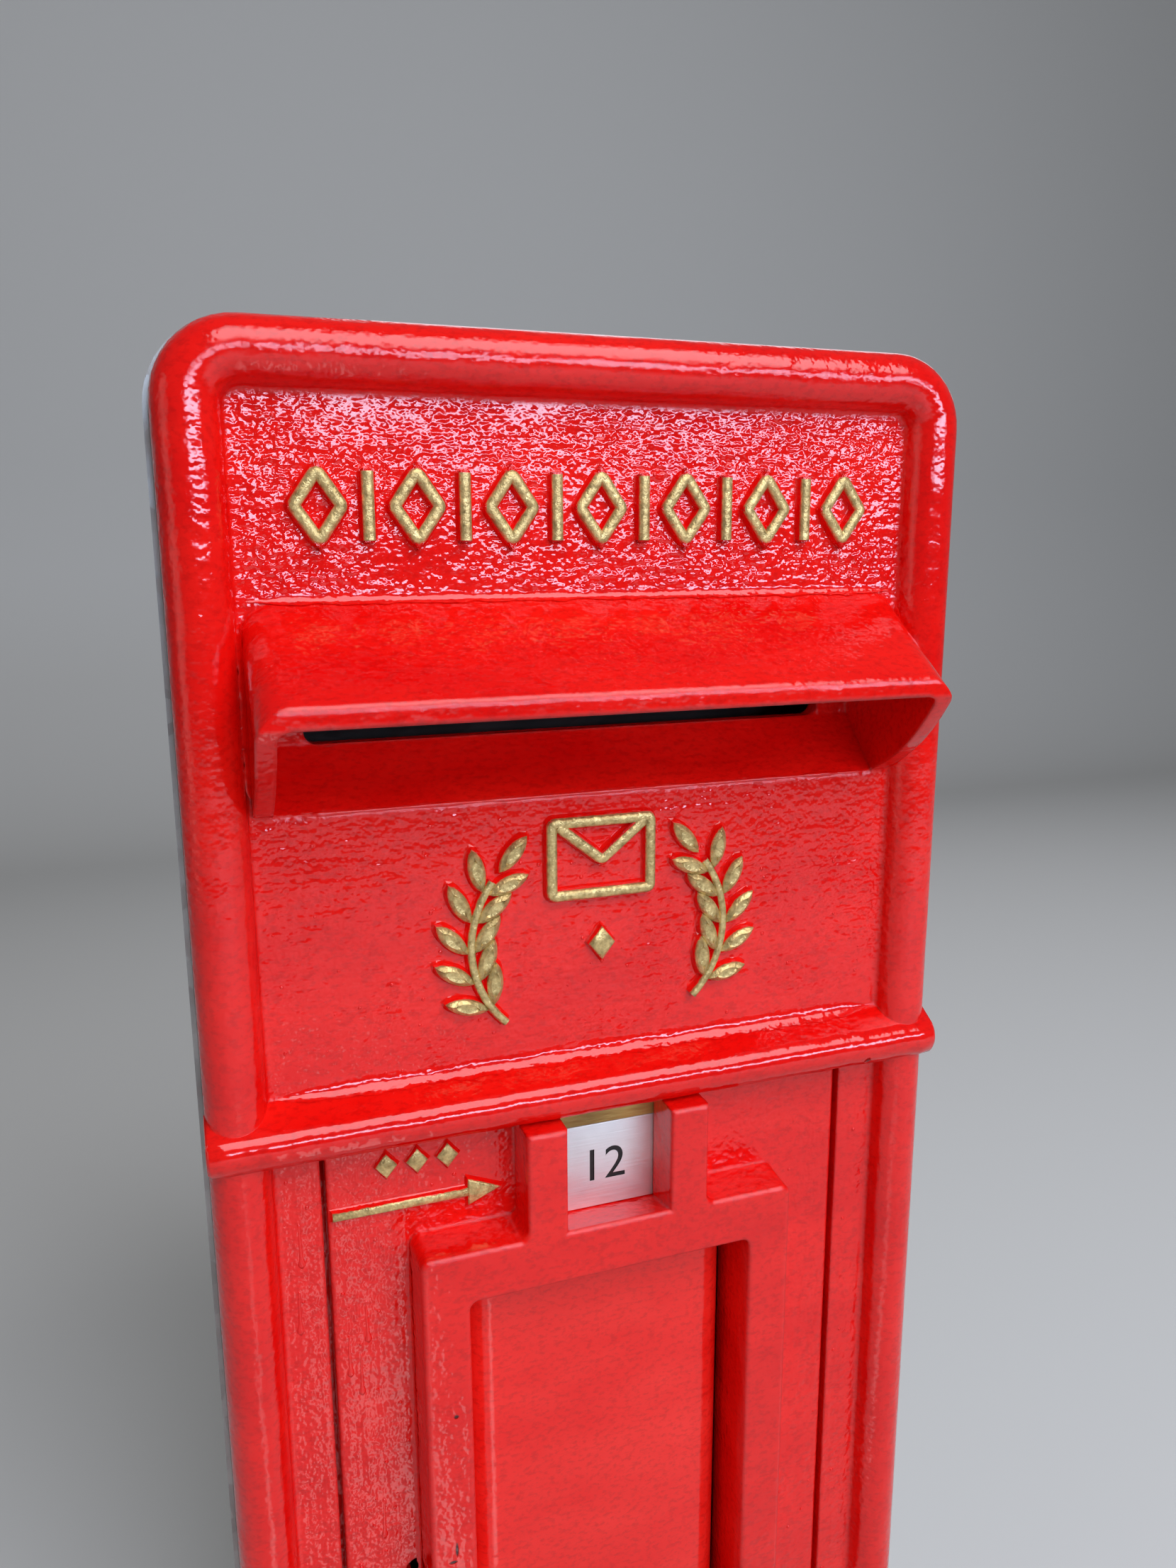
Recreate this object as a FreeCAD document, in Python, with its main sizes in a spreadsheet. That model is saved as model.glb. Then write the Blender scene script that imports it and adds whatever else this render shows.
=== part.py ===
import FreeCAD, Part
import math
import os
import re

import Sketcher
from FreeCAD import Placement, Rotation, Vector

# A wall post box with a cast iron front on a folded steel body. Millimetres.
# X runs to the right as seen from the street, Y into the wall, Z up.
# The origin is the centre of the wall holes, on the back face of the box.
# A "drop" is a distance below the top of the casting. A "rise" is a distance in
# front of the face plane, in which the fascia, the lower panel and the door lie.

SIZES = {
    # The casting as a whole
    "overall_width": 254.0,
    "overall_height": 580.0,
    "face_depth": 165.0,
    "corner_radius": 24.0,
    "plate_thickness": 8.0,
    "flange_thickness": 6.0,
    "flange_depth": 30.0,
    # Rolled rim round the front
    "bead_radius": 9.2,
    "bead_cove": 1.6,
    # Hood over the letter mouth
    "hood_side_gap": 19.6,
    "hood_drop": 76.5,
    "hood_reach": 35.5,
    "hood_fall": 26.0,
    "hood_thickness": 5.8,
    "cheek_thickness": 5.7,
    "hood_corner_radius": 9.5,
    "hood_inner_radius": 4.5,
    "hood_edge_radius": 3.0,
    "root_radius": 1.6,
    "cheek_height": 61.9,
    "cheek_curve_radius": 79.0,
    # Mouth and letter slot behind the hood
    "mouth_depth": 18.0,
    "mouth_wall": 6.0,
    "cill_gap": 0.4,
    "cill_rise": 18.0,
    "cill_edge_radius": 3.0,
    "slot_side_gap": 17.4,
    "slot_height": 25.0,
    "slot_corner_radius": 4.0,
    # Ledge between the lower panel and the door
    "panel_height": 88.7,
    "ledge_height": 16.3,
    "ledge_reach": 10.5,
    "ledge_slope_fall": 6.5,
    "ledge_nose_radius": 3.0,
    "ledge_lower_radius": 1.8,
    # Raised ornament: a band of lozenges and bars on the fascia, then an
    # envelope, a small lozenge and two sprigs on the lower panel
    "stroke": 3.0,
    "ornament_rise": 2.8,
    "band_drop": 37.5,
    "band_height": 24.8,
    "band_half_gap": 14.1,
    "lozenge_half": 8.5,
    "lozenge_eye": 0.57,
    "bar_end_gap": 2.2,
    "envelope_half": 18.5,
    "envelope_gap": 7.2,
    "envelope_height": 27.0,
    "envelope_corner": 2.5,
    "small_lozenge_half": 4.2,
    "small_lozenge_height": 10.6,
    "small_lozenge_gap": 48.2,
    "sprig_offset": 8.0,
    "sprig_fall": 47.2,
    "sprig_radius": 36.0,
    "stem_half": 1.0,
    "leaf_root": 2.2,
    "leaf_length": 13.5,
    "leaf_side_radius": 10.5,
    # Raised mark on the door beside the tablet
    "mark_rise": 1.6,
    "mark_inset": 1.5,
    "mark_length": 55.0,
    "mark_fall": 26.2,
    "mark_stroke": 2.6,
    "mark_head": 11.0,
    "mark_head_half": 4.6,
    "mark_pip_fall": 11.6,
    "mark_pip_half": 3.4,
    "mark_pip_spacing": 10.0,
    # Door opening and the stop that the door closes against
    "side_strip": 32.8,
    "foot_strip": 33.4,
    "stop_gap": 0.8,
    "stop_width": 6.7,
    "stop_thickness": 5.0,
    "jamb_wall": 6.0,
    # Door and its pivots
    "door_side_gap": 1.7,
    "door_end_gap": 1.6,
    "door_thickness": 9.0,
    "door_edge_radius": 2.0,
    "pivot_inset": 3.6,
    "pin_radius": 2.5,
    "pin_clearance": 0.05,
    "pin_length": 24.0,
    "washer_radius": 4.2,
    # Raised frame on the door, its window and its two pegs
    "frame_side_gap": 28.2,
    "frame_head_gap": 38.2,
    "frame_foot_gap": 29.6,
    "frame_rise": 16.0,
    "frame_draft": 3.6,
    "frame_corner_radius": 4.0,
    "frame_side_bar": 15.5,
    "frame_end_bar": 19.0,
    "window_corner_radius": 3.0,
    "peg_width": 13.8,
    "peg_spacing": 50.5,
    "peg_gap": 2.4,
    "peg_root_radius": 3.0,
    "frame_edge_radius": 1.5,
    "tablet_centre": 1.6,
    # Collection plate, pressed as a shallow pan, and its clips
    "plate_side_gap": 1.9,
    "plate_end_gap": 2.0,
    "plate_rise": 1.0,
    "plate_roll_radius": 9.0,
    "plate_sheet": 1.5,
    "plate_lip": 9.4,
    "plate_lip_inset": 4.0,
    "clip_inset": 4.5,
    "clip_width": 9.0,
    "clip_sheet": 1.5,
    "clip_foot": 10.0,
    "clip_finger": 6.0,
    "clip_clearance": 0.3,
    # Day tablet and its brass holder
    "notch_width": 48.0,
    "notch_depth": 4.5,
    "notch_floor_rise": 4.1,
    "tablet_width": 46.0,
    "tablet_height": 31.2,
    "tablet_thickness": 2.2,
    "tablet_setback": 0.8,
    "tablet_clearance": 0.2,
    "holder_side_gap": 0.5,
    "holder_gap": 0.3,
    "holder_stop_gap": 1.0,
    "holder_bar_top_gap": 0.4,
    "holder_plate": 1.5,
    "holder_ear": 13.0,
    "holder_plate_height": 40.0,
    # Lock
    "keyhole_gap": 2.3,
    "keyhole_fall": 12.5,
    "keyhole_radius": 4.3,
    "keyhole_slot_width": 3.6,
    "keyhole_slot_length": 12.0,
    "lock_width": 33.0,
    "lock_height": 64.0,
    "lock_depth": 16.0,
    "lock_sheet": 1.5,
    "lock_screw_inset": 4.5,
    "bolt_height": 17.0,
    "bolt_thickness": 6.0,
    "bolt_length": 30.0,
    "bolt_offset": 13.5,
    "bolt_clearance": 0.3,
    "bolt_throw": 10.0,
    "bolt_nose_radius": 1.0,
    "guide_radius": 2.0,
    "guide_gap": 3.0,
    "guide_round": 0.98,
    "talon_width": 8.0,
    "talon_height": 4.0,
    "spring_thickness": 0.8,
    "spring_width": 5.0,
    "keep_edge_gap": 0.7,
    "keep_screw_grip": 3.7,
    "keep_width": 11.0,
    "keep_height": 47.0,
    "keep_sheet": 1.5,
    "keep_screw_spacing": 37.0,
    # Letter baffle behind the slot
    "baffle_side": 8.0,
    "baffle_sheet": 1.2,
    "baffle_top_gap": 0.5,
    "baffle_tab": 14.0,
    "baffle_run": 46.0,
    "baffle_bend_radius": 3.0,
    "baffle_screw_inset": 23.0,
    # Folded body behind the casting
    "body_sheet": 1.5,
    "body_overlap": 16.0,
    "body_clearance": 0.2,
    "back_sheet": 2.0,
    "back_flange": 15.0,
    "back_flange_end": 70.0,
    "wall_hole_radius": 4.25,
    "wall_hole_spacing_x": 180.0,
    "wall_hole_spacing_z": 440.0,
    "bracket_leg": 30.0,
    "bracket_arm": 21.0,
    "bracket_sheet": 3.0,
    "bracket_height": 18.0,
    "boss_size": 16.0,
    "boss_end": 45.0,
    # Fasteners
    "small_screw_radius": 2.0,
    "small_head_radius": 3.3,
    "small_head_height": 2.4,
    "small_screw_grip": 4.5,
    "small_hole_clearance": 0.2,
    "lock_hole_clearance": 0.1,
    "body_bolt_radius": 3.0,
    "body_bolt_grip": 12.0,
    "body_bolt_end_gap": 0.5,
    "body_bolt_clearance": 0.3,
    "body_bolt_head_radius": 5.8,
    "body_bolt_head_height": 4.0,
    "rivet_radius": 2.4,
    "rivet_head_radius": 4.6,
    "rivet_head_height": 1.2,
    "rivet_end": 20.0,
    "rivet_inset": 9.0,
    # How far a cut runs past the face it opens
    "cut_past": 1.0,
}

# Sizes that follow from those above
FOLLOWING = {
    "hood_width": "(overall_width - 2 * hood_side_gap)",
    "cheek_drop": "(hood_drop + cheek_height)",
    "cill_drop": "(cheek_drop + cill_gap)",
    "slot_width": "(hood_width - 2 * slot_side_gap)",
    "ledge_drop": "(cill_drop + panel_height)",
    "opening_width": "(overall_width - 2 * side_strip)",
    "opening_height": "(overall_height - foot_strip - ledge_drop - ledge_height)",
    "frame_width": "(opening_width - 2 * frame_side_gap)",
    "frame_drop": "(ledge_drop + ledge_height + frame_head_gap)",
    "frame_height": "(opening_height - frame_head_gap - frame_foot_gap)",
    "peg_drop": "(ledge_drop + ledge_height + peg_gap)",
    "clip_offset": "(frame_width / 2 - frame_side_bar - clip_inset)",
    "notch_drop": "(frame_drop + notch_depth)",
    "keyhole_offset": "(frame_width / 2 + keyhole_gap)",
    "keyhole_drop": "(frame_drop + frame_height / 2 + keyhole_fall)",
    "baffle_width": "(slot_width + 2 * baffle_side)",
    "baffle_screw_spacing": "(baffle_width - 2 * baffle_screw_inset)",
    "back_flange_height": "(overall_height - 2 * back_flange_end)",
    "boss_spacing_z": "(overall_height - 2 * boss_end)",
    "rivet_spacing": "(back_flange_height / 2 - rivet_end)",
}

TOP = "overall_height / 2"
HALF_WIDTH = "overall_width / 2"
LEDGE_BOTTOM = "(ledge_drop + ledge_height)"
OPENING_BOTTOM = "(ledge_drop + ledge_height + opening_height)"
DOOR_TOP = "(ledge_drop + ledge_height + door_end_gap)"
DOOR_BOTTOM = "(ledge_drop + ledge_height + opening_height - door_end_gap)"
DOOR_HALF = "(opening_width / 2 - door_side_gap)"
PIVOT_X = "(opening_width / 2 - door_side_gap - pivot_inset)"
STOP_FACE = "(-door_thickness - stop_gap)"
STOP_BACK = "(-door_thickness - stop_gap - stop_thickness)"
WINDOW_HALF = "(frame_width / 2 - frame_side_bar)"
WINDOW_TOP = "(frame_drop + frame_end_bar)"
WINDOW_BOTTOM = "(frame_drop + frame_height - frame_end_bar)"
WINDOW_MIDDLE = "(frame_drop + frame_height / 2)"
MOUTH_CEILING = "(hood_drop + hood_thickness)"
CILL_TOP = "(cill_drop - cill_rise)"
LOCK_MIDDLE = "(keyhole_drop)"
BOLT_MIDDLE = "(keyhole_drop - bolt_offset)"
BOLT_BACK = "(-door_thickness - lock_depth + lock_sheet + bolt_clearance)"
BODY_INSIDE = "(overall_width / 2 + body_clearance)"

doc = FreeCAD.newDocument("PostBox")
sheet = doc.addObject("Spreadsheet::Sheet", "Sizes")
sub_parts = []


def fill_sheet():
    """Writes each size and its alias into the sheet."""
    for row, (name, size) in enumerate(SIZES.items(), start=1):
        sheet.set(f"A{row}", name)
        sheet.set(f"B{row}", str(size))
        sheet.setAlias(f"B{row}", name)
    doc.recompute()


def bound(text):
    """The expression with each size's name pointing at the sheet."""
    def point(word):
        name = word.group()
        if name in FOLLOWING:
            return bound(FOLLOWING[name])
        return f"Sizes.{name}" if name in SIZES else name
    return re.sub(r"[a-z_]+", point, str(text))


def value(text):
    """The present value of an expression of sizes."""
    return float(sheet.evalExpression(bound(text)))


def level(drop):
    """The height Z of a drop below the top."""
    return f"({TOP} - ({drop}))"


def fore(rise):
    """The place Y of a rise in front of the face plane."""
    return f"(-face_depth - ({rise}))"


def keep(item, name):
    """Marks an object as a piece of the box, under the name of its file."""
    item.Label = name
    sub_parts.append(item)
    return item


def new_body(name):
    return keep(doc.addObject("PartDesign::Body", name), name)


def new_sketch(body, name, plane, offset="0"):
    """A sketch on one of the body's own origin planes, moved along its normal."""
    sketch = body.newObject("Sketcher::SketchObject", name)
    support = next(item for item in body.Origin.OriginFeatures if item.Role == plane)
    sketch.AttachmentSupport = [(support, "")]
    sketch.MapMode = "FlatFace"
    sketch.setExpression("AttachmentOffset.Base.z", bound(offset))
    return sketch


def front_sketch(body, name, rise="0"):
    """A sketch seen from the street, X to the right and Z up, at a rise."""
    return new_sketch(body, name, "XZ_Plane", f"face_depth + ({rise})")


def side_sketch(body, name, offset="0"):
    """A sketch seen from the right, with Y and Z."""
    return new_sketch(body, name, "YZ_Plane", offset)


def plan_sketch(body, name, height):
    """A sketch seen from above, with X and Y, at a height."""
    return new_sketch(body, name, "XY_Plane", height)


def hold_point(sketch, geometry, position, place):
    """Ties a point of a sketch to the sheet in both directions."""
    for kind, text in zip(("DistanceX", "DistanceY"), place):
        constraint = Sketcher.Constraint(kind, -1, 1, geometry, position, value(text))
        index = sketch.addConstraint(constraint)
        sketch.setExpression(f"Constraints[{index}]", bound(text))


def hold_radius(sketch, geometry, text):
    index = sketch.addConstraint(Sketcher.Constraint("Radius", geometry, value(text)))
    sketch.setExpression(f"Constraints[{index}]", bound(text))


def end_at(sketch, geometry, point):
    """Which end of a curve, 1 or 2, lies at a point."""
    start = sketch.Geometry[geometry].StartPoint
    return 1 if start.distanceToPoint(point) < 1e-6 else 2


def arc_through(start, middle, end):
    """The arc through three points, always drawn anticlockwise as sketches need."""
    centre = Part.Circle(start, middle, end).Center
    if (middle - start).cross(end - middle).z < 0:
        start, end = end, start
    first, last = (math.atan2(point.y - centre.y, point.x - centre.x) for point in (start, end))
    full = Part.Circle(centre, Vector(0, 0, 1), centre.distanceToPoint(start))
    return Part.ArcOfCircle(full, first, last if last > first else last + 2 * math.pi)


def rounding(before, corner, after, radius):
    """Where the rounding of a corner starts, its arc and where it ends."""
    inward = (corner - before).normalize()
    outward = (after - corner).normalize()
    run = radius * math.tan(inward.getAngle(outward) / 2)
    start, end = corner - inward * run, corner + outward * run
    to_corner = (corner - (start + end) / 2).normalize()
    middle = corner - to_corner * (math.hypot(radius, run) - radius)
    return start, arc_through(start, middle, end), end


def bulging_arc(start, end, radius, left):
    """The lesser arc of a radius between two points, bulging left or right."""
    chord = end - start
    side = Vector(-chord.y, chord.x, 0).normalize() * (1 if left else -1)
    depth = radius - math.sqrt(radius ** 2 - (chord.Length / 2) ** 2)
    return arc_through(start, (start + end) / 2 + side * depth, end)


def outline(sketch, corners):
    """Draws a closed outline. A corner is (x, y), (x, y, radius) for a rounded
    one, or (x, y, "left", radius) where an arc leads from it to the next."""
    points = [Vector(value(corner[0]), value(corner[1]), 0) for corner in corners]
    rounded = [len(corner) == 3 for corner in corners]
    count = len(corners)
    leaving, arriving, roundings = list(points), list(points), {}
    for index in range(count):
        if rounded[index]:
            radius = value(corners[index][2])
            around = points[index - 1], points[index], points[(index + 1) % count]
            arriving[index], roundings[index], leaving[index] = rounding(*around, radius)
    sides = []
    for index, corner in enumerate(corners):
        start, end = leaving[index], arriving[(index + 1) % count]
        if len(corner) == 4:
            curve = bulging_arc(start, end, value(corner[3]), corner[2] == "left")
            sides.append(sketch.addGeometry(curve, False))
            hold_radius(sketch, sides[-1], corner[3])
        else:
            sides.append(sketch.addGeometry(Part.LineSegment(start, end), False))
    for index, corner in enumerate(corners):
        before, after = sides[index - 1], sides[index]
        if not rounded[index]:
            ends = end_at(sketch, before, points[index]), end_at(sketch, after, points[index])
            sketch.addConstraint(Sketcher.Constraint("Coincident", before, ends[0], after, ends[1]))
            hold_point(sketch, after, ends[1], corner[:2])
            continue
        arc = sketch.addGeometry(roundings[index], False)
        mark = sketch.addGeometry(Part.Point(points[index]), True)
        hold_point(sketch, mark, 1, corner[:2])
        for side, touch in ((before, arriving[index]), (after, leaving[index])):
            sketch.addConstraint(Sketcher.Constraint("PointOnObject", mark, 1, side))
            ends = end_at(sketch, side, touch), end_at(sketch, arc, touch)
            sketch.addConstraint(Sketcher.Constraint("Tangent", side, ends[0], arc, ends[1]))
        hold_radius(sketch, arc, corner[2])


def block_outline(sketch, left, right, low, high, radius=None):
    """Draws an upright rectangle, with rounded corners where a radius is given."""
    tail = (radius,) if radius else ()
    outline(sketch, [(left, low) + tail, (right, low) + tail, (right, high) + tail, (left, high) + tail])


def circle(sketch, x, y, radius):
    geometry = sketch.addGeometry(Part.Circle(Vector(value(x), value(y), 0), Vector(0, 0, 1), value(radius)))
    hold_point(sketch, geometry, 3, (x, y))
    hold_radius(sketch, geometry, radius)


def extrude(body, kind, name, sketch, length, reverse, both_ways):
    feature = body.newObject(f"PartDesign::{kind}", name)
    feature.Profile = (sketch, [""])
    feature.setExpression("Length", bound(length))
    feature.Reversed = reverse
    if both_ways:
        feature.SideType = "Symmetric"
    return feature


def pad(body, name, sketch, length, reverse=False, both_ways=False):
    return extrude(body, "Pad", name, sketch, length, reverse, both_ways)


def pocket(body, name, sketch, length, reverse=False, both_ways=False):
    return extrude(body, "Pocket", name, sketch, length, reverse, both_ways)


def round_edges(body, name, radius, wanted):
    """Rounds those edges of the body, as it is so far, that the test picks."""
    doc.recompute()
    last = body.Tip
    edges = [f"Edge{n}" for n, edge in enumerate(last.Shape.Edges, start=1) if wanted(edge)]
    feature = body.newObject("PartDesign::Fillet", name)
    feature.Base = (last, edges)
    feature.setExpression("Radius", bound(radius))


def lies_at(edge, y):
    """Whether an edge lies in the plane parallel to the wall at Y."""
    return all(abs(bound_y - y) < 1e-4 for bound_y in (edge.BoundBox.YMin, edge.BoundBox.YMax))


def add_plate_and_flange(body):
    """The face plate with rounded corners and the flange behind its edge."""
    sketch = front_sketch(body, "plate_outline")
    rounded = "corner_radius"
    block_outline(sketch, f"-{HALF_WIDTH}", HALF_WIDTH, f"-{TOP}", TOP, rounded)
    pad(body, "face_plate", sketch, "plate_thickness", reverse=True)
    sketch = front_sketch(body, "flange_outline")
    block_outline(sketch, f"-{HALF_WIDTH}", HALF_WIDTH, f"-{TOP}", TOP, rounded)
    inner_x = f"({HALF_WIDTH} - flange_thickness)"
    inner_z = f"({TOP} - flange_thickness)"
    inner_radius = "corner_radius - flange_thickness"
    block_outline(sketch, f"-{inner_x}", inner_x, f"-{inner_z}", inner_z, inner_radius)
    pad(body, "flange", sketch, "flange_depth", reverse=True)


def add_bead(body):
    """The half-round rim, swept round the outline with a small cove inside it."""
    path = front_sketch(body, "bead_path")
    rounded = "corner_radius"
    corners = [("0", TOP), (HALF_WIDTH, TOP, rounded), (HALF_WIDTH, f"-{TOP}", rounded)]
    corners += [(f"-{HALF_WIDTH}", f"-{TOP}", rounded), (f"-{HALF_WIDTH}", TOP, rounded)]
    outline(path, corners)
    both = "(bead_radius + bead_cove)"
    cove_run = f"sqrt({both} ^ 2 - bead_cove ^ 2)"
    share = f"(bead_radius / {both})"
    section = side_sketch(body, "bead_section")
    outline(section, [
        (fore("0"), TOP, "right", "bead_radius"),
        (fore(f"{share} * bead_cove"), level(f"bead_radius + {share} * {cove_run}"), "left", "bead_cove"),
        (fore("0"), level(f"bead_radius + {cove_run}")),
        (fore("-plate_thickness / 2"), level(f"bead_radius + {cove_run}")),
        (fore("-plate_thickness / 2"), TOP),
    ])
    bead = body.newObject("PartDesign::AdditivePipe", "bead")
    bead.Profile = (section, [""])
    bead.Spine = (path, [])
    bead.Mode = "Standard"


def add_hood(body):
    """The hood: a sloping top with rounded shoulders and two curved cheeks."""
    half, inner = "(hood_width / 2)", "(hood_width / 2 - cheek_thickness)"
    sketch = front_sketch(body, "hood_section")
    foot = level("cheek_drop")
    outline(sketch, [
        (f"-{half}", foot), (f"-{half}", level("hood_drop"), "hood_corner_radius"),
        (half, level("hood_drop"), "hood_corner_radius"), (half, foot),
        (inner, foot), (inner, level(MOUTH_CEILING), "hood_inner_radius"),
        (f"-{inner}", level(MOUTH_CEILING), "hood_inner_radius"), (f"-{inner}", foot),
    ])
    hood = pad(body, "hood", sketch, "hood_reach")
    hood.UseCustomVector = True
    hood.AlongSketchNormal = True
    hood.Direction = Vector(0, -1, 0)
    hood.setExpression("Direction.z", bound("-hood_fall / hood_reach"))
    sketch = side_sketch(body, "cheek_curve")
    lip = f"({MOUTH_CEILING} + hood_fall)"
    below = "(cheek_drop + hood_reach + hood_fall)"
    beyond = "(hood_reach + hood_thickness)"
    outline(sketch, [
        (fore("0"), level("cheek_drop"), "left", "cheek_curve_radius"),
        (fore("hood_reach"), level(lip)), (fore(beyond), level(lip)),
        (fore(beyond), level(below)), (fore("0"), level(below)),
    ])
    pocket(body, "cheek_trim", sketch, "hood_width + cheek_thickness", both_ways=True)
    slant = "sqrt(hood_fall ^ 2 + hood_reach ^ 2)"
    run = f"(hood_edge_radius * ({slant} - hood_fall) / hood_reach)"
    crest = "(hood_drop + hood_fall)"
    sketch = side_sketch(body, "lip_rounding")
    outline(sketch, [
        (fore(f"hood_reach - {run} * hood_reach / {slant}"), level(f"{crest} - {run} * hood_fall / {slant}"),
         "right", "hood_edge_radius"),
        (fore("hood_reach"), level(f"{crest} + {run}")),
        (fore("hood_reach + cut_past"), level(f"{crest} + {run}")),
        (fore("hood_reach + cut_past"), level(f"{crest} - cut_past")),
    ])
    pocket(body, "hood_lip", sketch, "hood_width + cheek_thickness", both_ways=True)
    add_root(body, "hood_root", "hood_drop", "hood_fall", "hood_reach", "hood_width - 2 * hood_corner_radius")


def add_root(body, name, drop, fall, reach, width):
    """The small concave root where a surface that slopes down meets the face."""
    slant = f"sqrt({fall} ^ 2 + {reach} ^ 2)"
    run = f"(root_radius * ({slant} - {fall}) / {reach})"
    ahead, below = f"{run} * {reach} / {slant}", f"{drop} + {run} * {fall} / {slant}"
    inside = "-plate_thickness / 2"
    sketch = side_sketch(body, f"{name}_section")
    outline(sketch, [
        (fore(inside), level(f"{drop} - {run}")), (fore("0"), level(f"{drop} - {run}"), "left", "root_radius"),
        (fore(ahead), level(below)), (fore(inside), level(below)),
    ])
    pad(body, name, sketch, width, both_ways=True)


def add_mouth(body):
    """The box behind the hood, its sloping cill and the letter slot."""
    slope = "(cill_rise / mouth_depth)"
    back = "(-mouth_depth - mouth_wall)"
    under = f"(cill_drop + mouth_wall * sqrt(1 + {slope} ^ 2))"
    sketch = side_sketch(body, "mouth_walls")
    outline(sketch, [
        (fore("-plate_thickness / 2"), level(f"{MOUTH_CEILING} - mouth_wall")),
        (fore(back), level(f"{MOUTH_CEILING} - mouth_wall")),
        (fore(back), level(f"{under} + {back} * {slope}")),
        (fore("-plate_thickness / 2"), level(f"{under} - plate_thickness / 2 * {slope}")),
    ])
    pad(body, "mouth_box", sketch, "hood_width", both_ways=True)
    sketch = side_sketch(body, "mouth_space")
    outline(sketch, [
        (fore("0"), level(MOUTH_CEILING)), (fore("-mouth_depth"), level(MOUTH_CEILING)),
        (fore("-mouth_depth"), level(CILL_TOP)), (fore("0"), level("cill_drop"), "cill_edge_radius"),
        (fore("0"), level("cill_drop + cill_edge_radius * 2")),
        (fore("cill_edge_radius"), level("cill_drop + cill_edge_radius * 2")),
        (fore("cill_edge_radius"), level("cill_drop - cill_edge_radius * 2")),
        (fore("0"), level("cill_drop - cill_edge_radius * 2")),
    ])
    pocket(body, "mouth_cut", sketch, "hood_width - 2 * cheek_thickness", both_ways=True)
    sketch = front_sketch(body, "slot_outline", "-mouth_depth")
    half = "slot_width / 2"
    top = level(f"{CILL_TOP} - slot_height")
    block_outline(sketch, f"-{half}", half, level(CILL_TOP), top, "slot_corner_radius")
    pocket(body, "letter_slot", sketch, "mouth_wall + cut_past")


def add_ledge(body):
    """The moulding across the box above the door."""
    sketch = side_sketch(body, "ledge_section")
    inside = fore("-plate_thickness / 2")
    outline(sketch, [
        (inside, level("ledge_drop")), (fore("0"), level("ledge_drop")),
        (fore("ledge_reach"), level("ledge_drop + ledge_slope_fall"), "ledge_nose_radius"),
        (fore("ledge_reach"), level(LEDGE_BOTTOM), "ledge_lower_radius"),
        (inside, level(LEDGE_BOTTOM)),
    ])
    pad(body, "ledge", sketch, "overall_width", both_ways=True)
    between_rims = "overall_width - 2 * bead_radius"
    add_root(body, "ledge_root", "ledge_drop", "ledge_slope_fall", "ledge_reach", between_rims)


def lozenge(sketch, x, z, half, height, share="1"):
    """A lozenge round a centre, where share makes it smaller all round."""
    across, along = f"{half} * {share}", f"{height} / 2 * {share}"
    outline(sketch, [
        (f"{x} - {across}", z), (x, f"{z} - {along}"), (f"{x} + {across}", z), (x, f"{z} + {along}"),
    ])


def add_band(body):
    """Seven open lozenges with a bar between each two, along the fascia."""
    sketch = front_sketch(body, "band_outline")
    middle = level("band_drop + band_height / 2")
    tall = "(band_height / 2 - bar_end_gap)"
    for step in range(-6, 7):
        x = f"({step} * band_half_gap)"
        if step % 2:
            block_outline(sketch, f"{x} - stroke / 2", f"{x} + stroke / 2",
                          f"{middle} - {tall}", f"{middle} + {tall}")
        else:
            lozenge(sketch, x, middle, "lozenge_half", "band_height")
            lozenge(sketch, x, middle, "lozenge_half", "band_height", "lozenge_eye")
    pad(body, "band", sketch, "ornament_rise")


def add_envelope(body):
    """An open envelope outline with its flap, and a small lozenge below it."""
    high = level("cill_drop + envelope_gap")
    low = f"({high} - envelope_height)"
    rim, flap = "(envelope_half - stroke)", "(envelope_height * 0.62)"
    sketch = front_sketch(body, "envelope_outline")
    block_outline(sketch, "-envelope_half", "envelope_half", low, high, "envelope_corner")
    block_outline(sketch, f"-{rim}", rim, f"{low} + stroke", f"{high} - stroke")
    pad(body, "envelope", sketch, "ornament_rise")
    sketch = front_sketch(body, "flap_outline")
    outline(sketch, [
        (f"-{rim} - stroke / 2", f"{high} - stroke / 2"), ("0", f"{high} - {flap}"),
        (f"{rim} + stroke / 2", f"{high} - stroke / 2"), (f"{rim} - stroke", f"{high} - stroke / 2"),
        ("0", f"{high} - {flap} + stroke * 1.5"), (f"-{rim} + stroke", f"{high} - stroke / 2"),
    ])
    pad(body, "flap", sketch, "ornament_rise")
    sketch = front_sketch(body, "small_lozenge_outline")
    centre = f"({high} - small_lozenge_gap + small_lozenge_height / 2)"
    lozenge(sketch, "0", centre, "small_lozenge_half", "small_lozenge_height")
    pad(body, "small_lozenge", sketch, "ornament_rise")


LEAF_ANGLES = [(turn, side) for turn in range(216, 136, -16) for side in (40, -40)] + [(140, 0)]


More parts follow.
